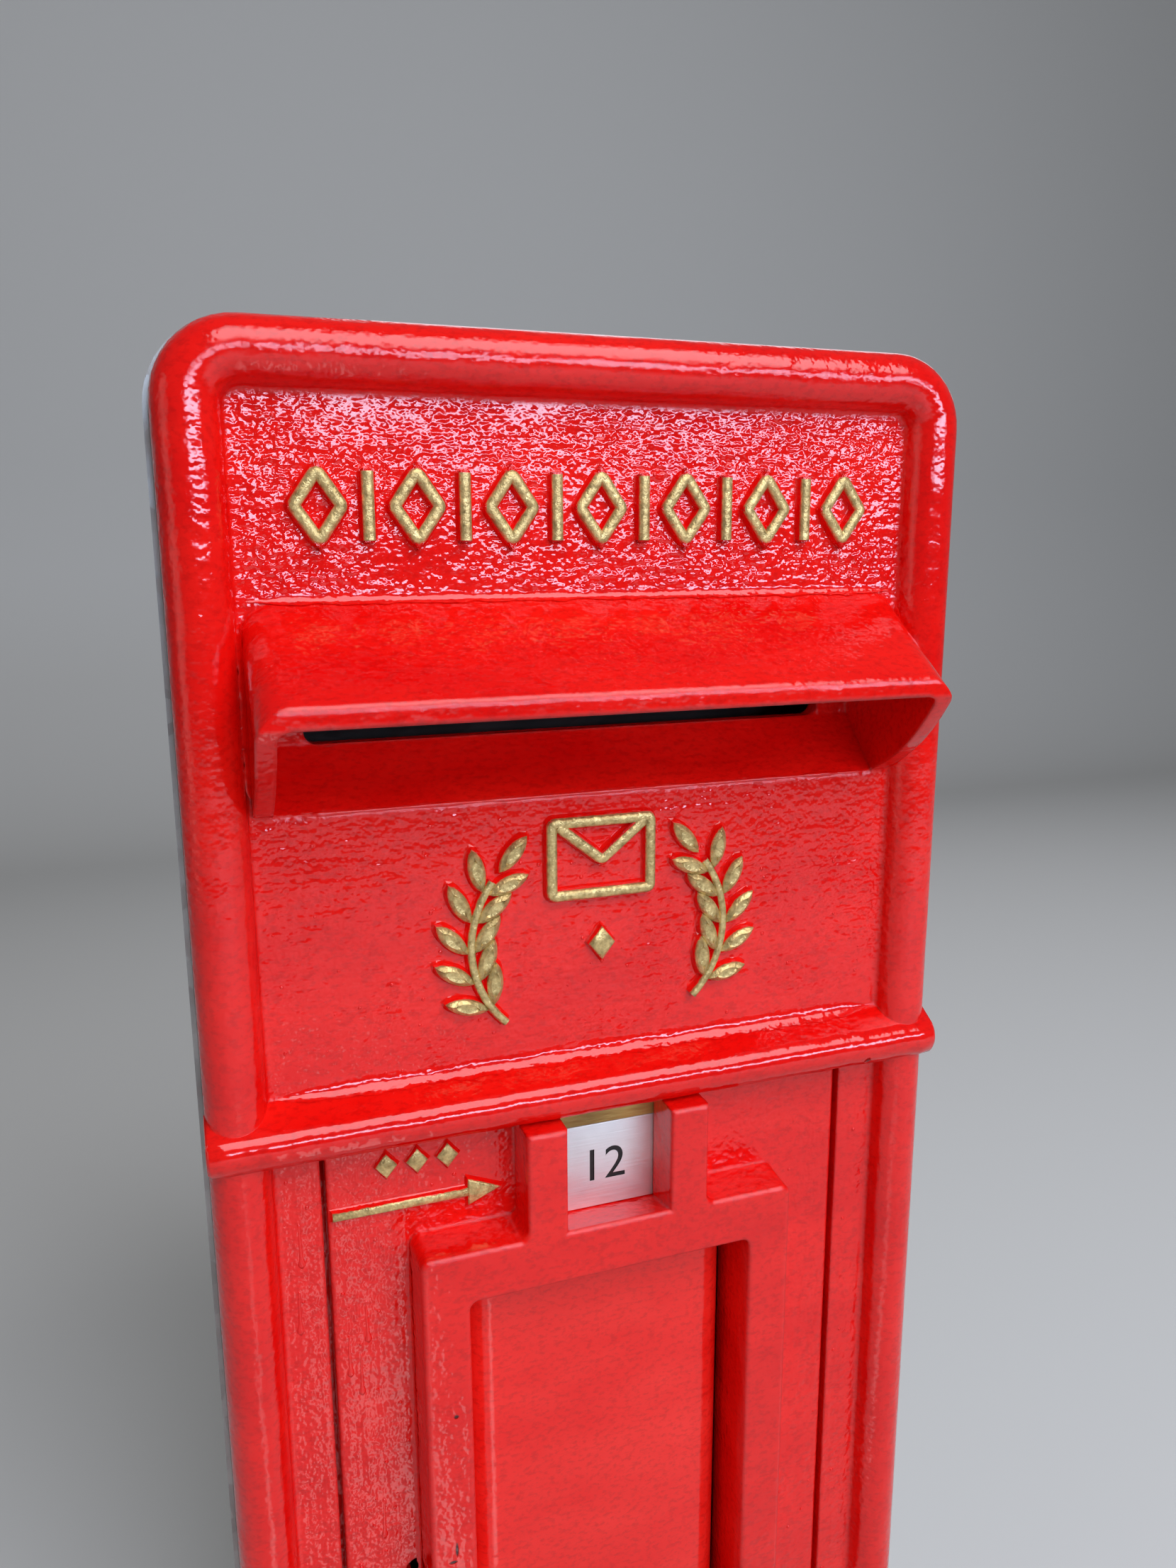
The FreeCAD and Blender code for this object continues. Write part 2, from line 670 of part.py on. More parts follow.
def add_sprigs(body):
    """Two sprigs, each a curved stem with eleven pointed leaves."""
    x, z = "(-sprig_offset)", level("cill_drop + sprig_fall")
    sketch = front_sketch(body, "stem_outline")
    ends = [(f"{x} + (sprig_radius {sign} stem_half) * cos({turn})",
             f"{z} + (sprig_radius {sign} stem_half) * sin({turn})")
            for sign, turn in (("+", 143), ("+", 226), ("-", 226), ("-", 143))]
    outline(sketch, [
        ends[0] + ("right", "sprig_radius + stem_half"), ends[1],
        ends[2] + ("left", "sprig_radius - stem_half"), ends[3],
    ])
    stem = pad(body, "stem", sketch, "ornament_rise")
    sketch = front_sketch(body, "leaf_outlines")
    for turn, side in LEAF_ANGLES:
        heading = turn - 90 + side
        root = [f"({centre} + sprig_radius * {wave}({turn}) + leaf_root * {wave}({heading}))"
                for centre, wave in ((x, "cos"), (z, "sin"))]
        tip = [f"({place} + leaf_length * {wave}({heading}))" for place, wave in zip(root, ("cos", "sin"))]
        outline(sketch, [
            (*root, "left", "leaf_side_radius"), (*tip, "left", "leaf_side_radius"),
        ])
    leaves = pad(body, "leaves", sketch, "ornament_rise")
    other = body.newObject("PartDesign::Mirrored", "right_sprig")
    other.Originals = [stem, leaves]
    plane = next(item for item in body.Origin.OriginFeatures if item.Role == "YZ_Plane")
    other.MirrorPlane = (plane, [""])
    body.Tip = other


def add_door_opening(body):
    """The door opening, the jamb behind it and the stop inside the jamb."""
    half = "(opening_width / 2)"
    jamb = "(opening_width / 2 + jamb_wall)"
    sketch = front_sketch(body, "jamb_outline", "-plate_thickness / 2")
    top, bottom = level(f"{LEDGE_BOTTOM} - jamb_wall"), level(f"{OPENING_BOTTOM} + jamb_wall")
    block_outline(sketch, f"-{jamb}", jamb, bottom, top)
    pad(body, "jamb", sketch, f"-({STOP_BACK}) - plate_thickness / 2", reverse=True)
    sketch = front_sketch(body, "opening_outline")
    block_outline(sketch, f"-{half}", half, level(OPENING_BOTTOM), level(LEDGE_BOTTOM))
    pocket(body, "door_recess", sketch, f"-({STOP_FACE})")
    inner = "(opening_width / 2 - stop_width)"
    sketch = front_sketch(body, "stop_outline")
    low, high = level(f"{OPENING_BOTTOM} - stop_width"), level(f"{LEDGE_BOTTOM} + stop_width")
    block_outline(sketch, f"-{inner}", inner, low, high)
    pocket(body, "door_way", sketch, f"-({STOP_BACK}) + cut_past")


def add_pivot_holes(body):
    """The holes for the two hinge pins, above and below the door."""
    for name, height, upward in (("upper", level(LEDGE_BOTTOM), True), ("lower", level(OPENING_BOTTOM), False)):
        sketch = plan_sketch(body, f"{name}_pivot_place", height)
        circle(sketch, PIVOT_X, fore("-door_thickness / 2"), "pin_radius")
        pocket(body, f"{name}_pivot_hole", sketch, "pin_length / 2", reverse=upward)


def boss_places():
    """The centres of the four bosses that the body is bolted to, as X and Z."""
    across = f"({HALF_WIDTH} - flange_thickness - boss_size / 2)"
    return [(f"{side}{across}", f"{end}boss_spacing_z / 2") for side in ("-", "") for end in ("-", "")]


def add_bosses(body):
    """Four bosses inside the flange, drilled from behind."""
    reach = "(boss_size / 2)"
    for number, (x, z) in enumerate(boss_places(), start=1):
        sketch = front_sketch(body, f"boss_outline_{number}", "-plate_thickness / 2")
        outward = -1 if x.startswith("-") else 1
        near, far = f"{x} - {outward} * {reach}", f"{x} + {outward} * ({reach} + flange_thickness / 2)"
        left, right = (near, far) if outward > 0 else (far, near)
        block_outline(sketch, left, right, f"{z} - {reach}", f"{z} + {reach}")
        pad(body, f"boss_{number}", sketch, "flange_depth - plate_thickness / 2", reverse=True)
    sketch = front_sketch(body, "boss_hole_places", "-flange_depth")
    for x, z in boss_places():
        circle(sketch, x, z, "body_bolt_radius")
    pocket(body, "boss_holes", sketch, "body_bolt_grip", reverse=True)


def add_blind_holes(body, name, places, rise, depth):
    """Blind holes for the small screws, drilled forwards from a plane."""
    sketch = front_sketch(body, f"{name}_places", rise)
    for x, z in places:
        circle(sketch, x, z, "small_screw_radius")
    pocket(body, name, sketch, depth, reverse=True)


def baffle_screw_places():
    z = level(f"{MOUTH_CEILING} - mouth_wall + baffle_tab / 2")
    return [("-baffle_screw_spacing / 2", z), ("baffle_screw_spacing / 2", z)]


def keep_screw_places():
    x = "-(opening_width / 2 + jamb_wall - keep_width / 2 - keep_edge_gap)"
    return [(x, level(f"{BOLT_MIDDLE} {sign} keep_screw_spacing / 2")) for sign in "-+"]


def front_casting():
    body = new_body("front_casting")
    add_plate_and_flange(body)
    add_hood(body)
    add_mouth(body)
    add_bead(body)
    add_ledge(body)
    add_band(body)
    add_envelope(body)
    add_sprigs(body)
    add_door_opening(body)
    add_pivot_holes(body)
    add_bosses(body)
    add_blind_holes(body, "baffle_holes", baffle_screw_places(), "-mouth_depth - mouth_wall", "small_screw_grip")
    add_blind_holes(body, "keep_holes", keep_screw_places(), STOP_BACK, "keep_screw_grip")


def peg_edges():
    """The left and right sides of the two pegs beside the tablet."""
    centres = [f"(tablet_centre {sign} peg_spacing / 2)" for sign in "-+"]
    return [(f"{x} - peg_width / 2", f"{x} + peg_width / 2") for x in centres]


def add_frame(body):
    """The raised frame with its window, and the two pegs above it."""
    sketch = front_sketch(body, "frame_outline")
    half = "(frame_width / 2 + frame_rise * tan(frame_draft))"
    low, high = level("frame_drop + frame_height"), level("frame_drop")
    block_outline(sketch, f"-{half}", half, low, high, "frame_corner_radius")
    frame = pad(body, "frame", sketch, "frame_rise")
    frame.setExpression("TaperAngle", bound("-frame_draft"))
    for number, (left, right) in enumerate(peg_edges(), start=1):
        sketch = front_sketch(body, f"peg_outline_{number}")
        block_outline(sketch, left, right, level("frame_drop + frame_end_bar / 2"), level("peg_drop"))
        pad(body, f"peg_{number}", sketch, "frame_rise")
    sketch = front_sketch(body, "window_outline", "frame_rise")
    low, high = level(WINDOW_BOTTOM), level(WINDOW_TOP)
    block_outline(sketch, f"-{WINDOW_HALF}", WINDOW_HALF, low, high, "window_corner_radius")
    pocket(body, "window", sketch, "frame_rise + door_thickness + cut_past")
    round_frame(body)


def add_tablet_notch(body):
    """The notch for the day tablet and the sloping floor in front of it."""
    sketch = front_sketch(body, "notch_outline")
    left, right = "tablet_centre - notch_width / 2", "tablet_centre + notch_width / 2"
    block_outline(sketch, left, right, level("notch_drop"), level(LEDGE_BOTTOM))
    pocket(body, "tablet_notch", sketch, "door_thickness + cut_past")
    sketch = side_sketch(body, "notch_floor", "tablet_centre")
    ahead = "(frame_rise + cut_past)"
    over = level("frame_drop - notch_depth")
    outline(sketch, [
        (fore("0"), level("notch_drop")), (fore(ahead), level("notch_drop - notch_floor_rise")),
        (fore(ahead), over), (fore("0"), over),
    ])
    pocket(body, "floor_slope", sketch, "peg_spacing - peg_width", both_ways=True)


def round_frame(body):
    """The soft front edges of the frame and pegs, and the roots of the pegs."""
    top, front = value(level("frame_drop")), value(fore("frame_rise"))
    outer = (value(peg_edges()[0][0]), value(peg_edges()[1][1]))

    def at_peg_root(edge):
        box = edge.BoundBox
        return (box.YLength > 1 and box.XLength + box.ZLength < 2
                and min(abs(box.XMin - x) for x in outer) < 0.1 and abs(box.ZMax - top) < 2)

    round_edges(body, "peg_roots", "peg_root_radius", at_peg_root)
    round_edges(body, "frame_edges", "frame_edge_radius", lambda edge: lies_at(edge, front))


def add_mark(body):
    """The arrow that points at the tablet, and the three pips above it."""
    left = f"(-{DOOR_HALF} + mark_inset)"
    middle = level(f"{LEDGE_BOTTOM} + mark_fall")
    neck = f"({left} + mark_length - mark_head)"
    sketch = front_sketch(body, "mark_outline")
    outline(sketch, [
        (left, f"{middle} - mark_stroke / 2"), (neck, f"{middle} - mark_stroke / 2"),
        (neck, f"{middle} - mark_head_half"), (f"{left} + mark_length", middle),
        (neck, f"{middle} + mark_head_half"), (neck, f"{middle} + mark_stroke / 2"),
        (left, f"{middle} + mark_stroke / 2"),
    ])
    for step in (-1, 0, 1):
        x = f"({left} + mark_length / 2 + {step} * mark_pip_spacing)"
        lozenge(sketch, x, level(f"{LEDGE_BOTTOM} + mark_pip_fall"), "mark_pip_half", "mark_pip_half * 2.4")
    pad(body, "mark", sketch, "mark_rise")


def add_keyhole(body):
    """The round keyhole with its slot, which bite into the foot of the frame."""
    sketch = front_sketch(body, "keyhole_round", "frame_rise")
    circle(sketch, "-keyhole_offset", level("keyhole_drop"), "keyhole_radius")
    pocket(body, "keyhole_head", sketch, "frame_rise + door_thickness + cut_past")
    sketch = front_sketch(body, "keyhole_foot", "frame_rise")
    left, right = "-keyhole_offset - keyhole_slot_width / 2", "-keyhole_offset + keyhole_slot_width / 2"
    low = level("keyhole_drop + keyhole_slot_length")
    block_outline(sketch, left, right, low, level("keyhole_drop"))
    pocket(body, "keyhole_slot", sketch, "frame_rise + door_thickness + cut_past")


def holder_screw_places():
    z = level("notch_drop - holder_plate_height / 3")
    reach = "(notch_width / 2 + holder_ear / 2)"
    return [(f"tablet_centre {sign} {reach}", z) for sign in "-+"]


def lock_screw_places():
    across = "(lock_width / 2 - lock_screw_inset)"
    along = "(lock_height / 2 - lock_screw_inset)"
    middle = level(LOCK_MIDDLE)
    return [(f"-keyhole_offset {a} {across}", f"{middle} {b} {along}") for a in "-+" for b in "-+"]


def clip_screw_places():
    """The four clip screws, beyond the lips of the plate."""
    reach = f"({WINDOW_BOTTOM} - {WINDOW_MIDDLE} - plate_end_gap + plate_lip + clip_foot / 2 + clip_clearance)"
    middle = level(WINDOW_MIDDLE)
    return [(f"{a}clip_offset", f"{middle} {b} {reach}") for a in ("-", "") for b in "-+"]


def front_door():
    body = new_body("front_door")
    sketch = plan_sketch(body, "slab_section", level(DOOR_BOTTOM))
    rounded = "door_edge_radius"
    outline(sketch, [
        (f"-{DOOR_HALF}", fore("0"), "door_edge_radius / 2"), (DOOR_HALF, fore("0"), rounded),
        (DOOR_HALF, fore("-door_thickness"), rounded),
        (f"-{DOOR_HALF}", fore("-door_thickness"), "door_edge_radius / 2"),
    ])
    pad(body, "slab", sketch, "opening_height - 2 * door_end_gap")
    add_frame(body)
    add_tablet_notch(body)
    add_mark(body)
    add_keyhole(body)
    for name, height, upward in (("upper", level(DOOR_TOP), False), ("lower", level(DOOR_BOTTOM), True)):
        sketch = plan_sketch(body, f"{name}_pin_place", height)
        circle(sketch, PIVOT_X, fore("-door_thickness / 2"), "pin_radius + pin_clearance")
        pocket(body, f"{name}_pin_hole", sketch, "pin_length / 2 - door_end_gap", reverse=upward)
    add_blind_holes(body, "holder_holes", holder_screw_places(), "-door_thickness", "small_screw_grip")
    add_blind_holes(body, "lock_holes", lock_screw_places(), "-door_thickness", "small_screw_grip")
    add_blind_holes(body, "clip_holes", clip_screw_places(), "-door_thickness", "small_screw_grip")


def hinge_pins():
    """Two plain pins, half in the casting and half in the door."""
    for name, height in (("upper", level(LEDGE_BOTTOM)), ("lower", level(OPENING_BOTTOM))):
        pin = keep(doc.addObject("Part::Cylinder", f"{name}_hinge_pin"), f"{name}_hinge_pin")
        pin.setExpression("Radius", bound("pin_radius"))
        below = "pin_length / 2" if name == "lower" else "pin_length / 2 - door_end_gap"
        pin.setExpression("Height", bound("pin_length - door_end_gap"))
        pin.setExpression("Placement.Base.x", bound(PIVOT_X))
        pin.setExpression("Placement.Base.y", bound(fore("-door_thickness / 2")))
        pin.setExpression("Placement.Base.z", bound(f"{height} - ({below})"))


def hinge_washer():
    """The washer that carries the door on its lower pin."""
    body = new_body("hinge_washer")
    sketch = plan_sketch(body, "washer_outline", level(OPENING_BOTTOM))
    circle(sketch, PIVOT_X, fore("-door_thickness / 2"), "washer_radius")
    circle(sketch, PIVOT_X, fore("-door_thickness / 2"), "pin_radius + pin_clearance")
    pad(body, "washer", sketch, "door_end_gap")


def collection_plate():
    """A shallow pressed pan with rolled edges and a lip above and below."""
    body = new_body("collection_plate")
    half = f"({WINDOW_HALF} - plate_side_gap)"
    low, high = f"({level(WINDOW_BOTTOM)} + plate_end_gap)", f"({level(WINDOW_TOP)} - plate_end_gap)"
    depth = "(door_thickness + plate_rise)"
    sketch = plan_sketch(body, "pan_section", low)
    roll, inner_roll = "plate_roll_radius", "plate_roll_radius - plate_sheet"
    inner = f"({half} - plate_sheet)"
    outline(sketch, [
        (f"-{half}", fore("-door_thickness")), (f"-{half}", fore("plate_rise"), roll),
        (half, fore("plate_rise"), roll), (half, fore("-door_thickness")),
        (inner, fore("-door_thickness")), (inner, fore("plate_rise - plate_sheet"), inner_roll),
        (f"-{inner}", fore("plate_rise - plate_sheet"), inner_roll), (f"-{inner}", fore("-door_thickness")),
    ])
    pad(body, "pan", sketch, f"{high} - {low}")
    for name, start, end, side in (("lower", low, f"({low} + plate_sheet)", "-"),
                                   ("upper", f"({high} - plate_sheet)", high, "+")):
        sketch = front_sketch(body, f"{name}_wall", "-door_thickness")
        block_outline(sketch, f"-{half} + plate_lip_inset", f"{half} - plate_lip_inset", start, end)
        pad(body, f"{name}_end", sketch, f"{depth} - plate_sheet / 2")
        sketch = front_sketch(body, f"{name}_lip", "-door_thickness")
        near, far = (f"{end}", f"{low} - plate_lip") if side == "-" else (start, f"{high} + plate_lip")
        bottom, top = (far, near) if side == "-" else (near, far)
        block_outline(sketch, f"-{half} + plate_lip_inset", f"{half} - plate_lip_inset", bottom, top)
        pad(body, f"{name}_flange", sketch, "plate_sheet", reverse=True)


def plate_clips():
    """Four joggled clips: foot on the door, finger over the lip of the pan."""
    source = doc.addObject("PartDesign::Body", "clip")
    reach = f"({WINDOW_BOTTOM} - {WINDOW_MIDDLE} - plate_end_gap + plate_lip)"
    edge = f"({level(WINDOW_MIDDLE)} + {reach})"
    foot, door = "(-door_thickness - clip_sheet)", "(-door_thickness)"
    finger = "(-door_thickness - plate_sheet)"
    sketch = side_sketch(source, "clip_section", "clip_offset")
    outline(sketch, [
        (fore(door), f"{edge} + clip_clearance"), (fore(door), f"{edge} + clip_clearance + clip_foot"),
        (fore(foot), f"{edge} + clip_clearance + clip_foot"),
        (fore(foot), f"{edge} + clip_clearance + clip_sheet"),
        (fore(f"{finger} - clip_sheet"), f"{edge} + clip_clearance + clip_sheet"),
        (fore(f"{finger} - clip_sheet"), f"{edge} - clip_finger"), (fore(finger), f"{edge} - clip_finger"),
        (fore(finger), f"{edge} + clip_clearance"),
    ])
    pad(source, "clip_strip", sketch, "clip_width", both_ways=True)
    sketch = front_sketch(source, "clip_hole_place", "-door_thickness")
    circle(sketch, "clip_offset", f"{edge} + clip_clearance + clip_foot / 2", "small_screw_radius + small_hole_clearance")
    pocket(source, "clip_hole", sketch, "clip_sheet + cut_past")
    across = mirrored(source, "clip_left", Vector(1, 0, 0))
    lower = [mirrored(item, f"{item.Name}_low", Vector(0, 0, 1)) for item in (source, across)]
    for item in lower:
        item.setExpression("Base.z", bound(level(WINDOW_MIDDLE)))
    group("plate_clips", [source, across] + lower)


def mirrored(item, name, normal):
    copy = doc.addObject("Part::Mirroring", name)
    copy.Source = item
    copy.Normal = normal
    return copy


def group(name, members):
    """Several like pieces that stay separate solids in one file."""
    compound = doc.addObject("Part::Compound", name)
    compound.Links = members
    return keep(compound, name)


def screw_set(name, places, seat, grip, turn=Rotation(Vector(1, 0, 0), 90), size="small"):
    """Screws with round heads. The shank runs forwards from the seat plane."""
    members = []
    for number, (x, z) in enumerate(places, start=1):
        shank = doc.addObject("Part::Cylinder", f"{name}_shank_{number}")
        head = doc.addObject("Part::Cylinder", f"{name}_head_{number}")
        for piece, radius, height, start in ((shank, f"{size}_screw_radius", grip, fore(seat)),
                                             (head, f"{size}_head_radius", f"{size}_head_height",
                                              f"{fore(seat)} + {size}_head_height")):
            piece.setExpression("Radius", bound(radius))
            piece.setExpression("Height", bound(height))
            piece.Placement = Placement(Vector(), turn)
            piece.setExpression("Placement.Base.x", bound(x))
            piece.setExpression("Placement.Base.y", bound(start))
            piece.setExpression("Placement.Base.z", bound(z))
        screw = doc.addObject("Part::Fuse", f"{name}_{number}")
        screw.Base, screw.Tool = shank, head
        members.append(screw)
    group(name, members)


def day_tablet():
    """The plain aluminium tablet, held behind the pegs."""
    body = new_body("day_tablet")
    sketch = front_sketch(body, "tablet_outline", "-tablet_setback")
    left, right = "tablet_centre - tablet_width / 2", "tablet_centre + tablet_width / 2"
    low = f"({level('notch_drop')} + tablet_clearance)"
    block_outline(sketch, left, right, low, f"{low} + tablet_height")
    pad(body, "tablet", sketch, "tablet_thickness", reverse=True)


def tablet_holder():
    """The brass holder: a bar over the tablet, a pad behind it and two ears."""
    body = new_body("tablet_holder")
    floor = level("notch_drop")
    bar_low = f"({floor} + tablet_clearance * 2 + tablet_height)"
    bar_high = f"({level(DOOR_TOP)} - holder_bar_top_gap)"
    under_stop = level(f"{LEDGE_BOTTOM} + stop_width + holder_stop_gap")
    seat = "(-tablet_setback - tablet_thickness - tablet_clearance)"
    sketch = side_sketch(body, "holder_section", "tablet_centre")
    outline(sketch, [
        (fore("-tablet_setback"), bar_low), (fore("-tablet_setback"), bar_high),
        (fore("-door_thickness + holder_gap"), bar_high), (fore("-door_thickness + holder_gap"), under_stop),
        (fore("-door_thickness - holder_plate"), under_stop),
        (fore("-door_thickness - holder_plate"), f"{floor} + holder_gap"), (fore(seat), f"{floor} + holder_gap"),
        (fore(seat), bar_low),
    ])
    pad(body, "holder_bar", sketch, "notch_width - 2 * holder_side_gap", both_ways=True)
    sketch = front_sketch(body, "ear_outline", "-door_thickness")
    reach = "(notch_width / 2 + holder_ear)"
    low = f"({under_stop} - holder_plate_height)"
    block_outline(sketch, f"tablet_centre - {reach}", f"tablet_centre + {reach}", low, under_stop)
    pad(body, "holder_ears", sketch, "holder_plate", reverse=True)
    sketch = front_sketch(body, "ear_hole_places", "-door_thickness")
    for x, z in holder_screw_places():
        circle(sketch, x, z, "small_screw_radius + small_hole_clearance")
    pocket(body, "ear_holes", sketch, "holder_plate + cut_past")


def lock_case():
    """The open-backed case of the lock, with its keyhole and bolt slot."""
    body = new_body("lock_case")
    half, tall = "(lock_width / 2)", "(lock_height / 2)"
    middle = level(LOCK_MIDDLE)
    left, right = f"-keyhole_offset - {half}", f"-keyhole_offset + {half}"
    low, high = f"{middle} - {tall}", f"{middle} + {tall}"
    sketch = front_sketch(body, "case_outline", "-door_thickness")
    block_outline(sketch, left, right, low, high)
    pad(body, "case", sketch, "lock_depth - lock_sheet", reverse=True)
    sketch = front_sketch(body, "case_space", "-door_thickness - lock_sheet")
    inner = [f"{left} + lock_sheet", f"{right} - lock_sheet", f"{low} + lock_sheet", f"{high} - lock_sheet"]
    block_outline(sketch, *inner)
    pocket(body, "case_hollow", sketch, "lock_depth")
    sketch = front_sketch(body, "case_keyhole", "-door_thickness")
    circle(sketch, "-keyhole_offset", level("keyhole_drop"), "keyhole_radius")
    pocket(body, "case_key_head", sketch, "lock_sheet + cut_past / 2")
    sketch = front_sketch(body, "case_key_foot", "-door_thickness")
    slot_left, slot_right = "-keyhole_offset - keyhole_slot_width / 2", "-keyhole_offset + keyhole_slot_width / 2"
    slot_low = level("keyhole_drop + keyhole_slot_length")
    block_outline(sketch, slot_left, slot_right, slot_low, level("keyhole_drop"))
    pocket(body, "case_key_slot", sketch, "lock_sheet + cut_past / 2")
    sketch = side_sketch(body, "bolt_slot", f"{left} - cut_past")
    near, far = f"{BOLT_BACK} + bolt_thickness + bolt_clearance", f"{BOLT_BACK} - bolt_clearance"
    centre = level(BOLT_MIDDLE)
    reach = "(bolt_height / 2 + bolt_clearance)"
    block_outline(sketch, fore(near), fore(far), f"{centre} - {reach}", f"{centre} + {reach}")
    pocket(body, "bolt_way", sketch, "lock_sheet + 2 * cut_past", reverse=True)
    sketch = front_sketch(body, "guide_place", "-door_thickness - lock_sheet / 2")
    circle(sketch, guide_x(), centre, "guide_radius")
    pad(body, "guide_post", sketch, "lock_depth - lock_sheet * 1.5 - bolt_clearance", reverse=True)
    sketch = front_sketch(body, "case_screw_places", "-door_thickness")
    for x, z in lock_screw_places():
        circle(sketch, x, z, "small_screw_radius + lock_hole_clearance")
    pocket(body, "case_screw_holes", sketch, "lock_sheet + cut_past / 2")


def guide_x():
    """The post that guides the bolt, near the bolt's end of the lock."""
    return "(-keyhole_offset - lock_width / 2 + bolt_throw + guide_gap)"


def lock_cap():
    """The plate that closes the back of the lock."""
    body = new_body("lock_cap")
    half, tall = "(lock_width / 2)", "(lock_height / 2)"
    middle = level(LOCK_MIDDLE)
    sketch = front_sketch(body, "cap_outline", "-door_thickness - lock_depth + lock_sheet")
    left, right = f"-keyhole_offset - {half}", f"-keyhole_offset + {half}"
    block_outline(sketch, left, right, f"{middle} - {tall}", f"{middle} + {tall}")
    for x, z in lock_screw_places():
        circle(sketch, x, z, "small_screw_radius + lock_hole_clearance")
    pad(body, "cap", sketch, "lock_sheet", reverse=True)


def lock_bolt():
    """The bolt, drawn back, with its guide slot and the talon for the key."""
    body = new_body("lock_bolt")
    left = "(-keyhole_offset - lock_width / 2)"
    centre = level(BOLT_MIDDLE)
    low, high = f"({centre} - bolt_height / 2)", f"({centre} + bolt_height / 2)"
    talon = "(-keyhole_offset + bolt_throw / 2)"
    sketch = front_sketch(body, "bolt_outline", BOLT_BACK)
    outline(sketch, [
        (left, low, "bolt_nose_radius"), (f"{talon} - talon_width / 2", low),
        (f"{talon} - talon_width / 2", f"{low} + talon_height"),
        (f"{talon} + talon_width / 2", f"{low} + talon_height"), (f"{talon} + talon_width / 2", low),
        (f"{left} + bolt_length", low), (f"{left} + bolt_length", high), (left, high, "bolt_nose_radius"),
    ])
    pad(body, "bolt", sketch, "bolt_thickness")
    sketch = front_sketch(body, "bolt_slot_outline", f"{BOLT_BACK} + bolt_thickness")
    reach = "(guide_radius + bolt_clearance)"
    block_outline(sketch, f"{guide_x()} - {reach}", f"{guide_x()} + {reach} + bolt_throw",
                  f"{centre} - {reach}", f"{centre} + {reach}", f"{reach} * guide_round")
    pocket(body, "bolt_guide", sketch, "bolt_thickness + cut_past")


def lock_spring():
    """A bowed leaf spring between the roof of the case and the bolt."""
    body = new_body("lock_spring")
    middle = "(-keyhole_offset)"
    half = "(lock_width / 2 - lock_sheet - 2 * lock_screw_inset)"
    roof = f"({level(LOCK_MIDDLE)} + lock_height / 2 - lock_sheet)"
    touch = f"({level(BOLT_MIDDLE)} + bolt_height / 2 + bolt_clearance)"
    bow = f"({roof} - {touch})"
    radius = f"(({half} ^ 2 + ({bow} - spring_thickness) ^ 2) / 2 / ({bow} - spring_thickness))"
    sketch = front_sketch(body, "spring_shape", f"{BOLT_BACK} + bolt_thickness / 2")
    outline(sketch, [
        (f"{middle} - {half}", roof, "right", radius), (f"{middle} + {half}", roof),
        (f"{middle} + {half}", f"{roof} - spring_thickness", "left", radius),
        (f"{middle} - {half}", f"{roof} - spring_thickness"),
    ])
    pad(body, "spring", sketch, "spring_width", both_ways=True)


def lock_keep():
    """The wear plate behind the stop, which the thrown bolt goes behind."""
    body = new_body("lock_keep")
    x = keep_screw_places()[0][0]
    sketch = front_sketch(body, "keep_outline", STOP_BACK)
    middle = level(BOLT_MIDDLE)
    block_outline(sketch, f"{x} - keep_width / 2", f"{x} + keep_width / 2",
                  f"{middle} - keep_height / 2", f"{middle} + keep_height / 2")
    for x, z in keep_screw_places():
        circle(sketch, x, z, "small_screw_radius + small_hole_clearance")
    pad(body, "keep", sketch, "keep_sheet", reverse=True)


def letter_baffle():
    """The folded sheet that turns letters down behind the slot."""
    body = new_body("letter_baffle")
    back = "(-mouth_depth - mouth_wall)"
    top = f"({MOUTH_CEILING} - mouth_wall + baffle_top_gap)"
    knee = f"({top} + baffle_tab)"
    shift = "baffle_sheet * tan(22.5)"
    sketch = side_sketch(body, "baffle_section")
    outline(sketch, [
        (fore(back), level(top)), (fore(back), level(knee), "baffle_bend_radius + baffle_sheet"),
        (fore(f"{back} - baffle_run"), level(f"{knee} + baffle_run")),
        (fore(f"{back} - baffle_run - baffle_sheet / sqrt(2)"), level(f"{knee} + baffle_run - baffle_sheet / sqrt(2)")),
        (fore(f"{back} - baffle_sheet"), level(f"{knee} - {shift}"), "baffle_bend_radius"),
        (fore(f"{back} - baffle_sheet"), level(top)),
    ])
    pad(body, "baffle", sketch, "baffle_width", both_ways=True)
    sketch = front_sketch(body, "baffle_hole_places", back)
    for x, z in baffle_screw_places():
        circle(sketch, x, z, "small_screw_radius + small_hole_clearance")
    pocket(body, "baffle_holes", sketch, "baffle_sheet + cut_past")


def ring_outline(sketch, grow):
    """The rounded outline of the casting, made larger all round."""
    x, z = f"({HALF_WIDTH} + {grow})", f"({TOP} + {grow})"
    block_outline(sketch, f"-{x}", x, f"-{z}", z, f"corner_radius + {grow}")


def rivet_places():
    """The rivets of the back plate in the sides of the body, as Y and Z."""
    return [("-rivet_inset", height) for height in ("-rivet_spacing", "0", "rivet_spacing")]


def body_shell():
    """The folded sleeve behind the casting, which slips over its flange."""
    body = new_body("body_shell")
    sketch = new_sketch(body, "sleeve_outline", "XZ_Plane")
    ring_outline(sketch, "(body_clearance + body_sheet)")
    ring_outline(sketch, "body_clearance")
    pad(body, "sleeve", sketch, "face_depth - flange_depth + body_overlap")
    sketch = side_sketch(body, "rivet_places")
    for y, z in rivet_places():
        circle(sketch, y, z, "rivet_radius")
    pocket(body, "rivet_holes", sketch, "overall_width + 4 * body_sheet", both_ways=True)


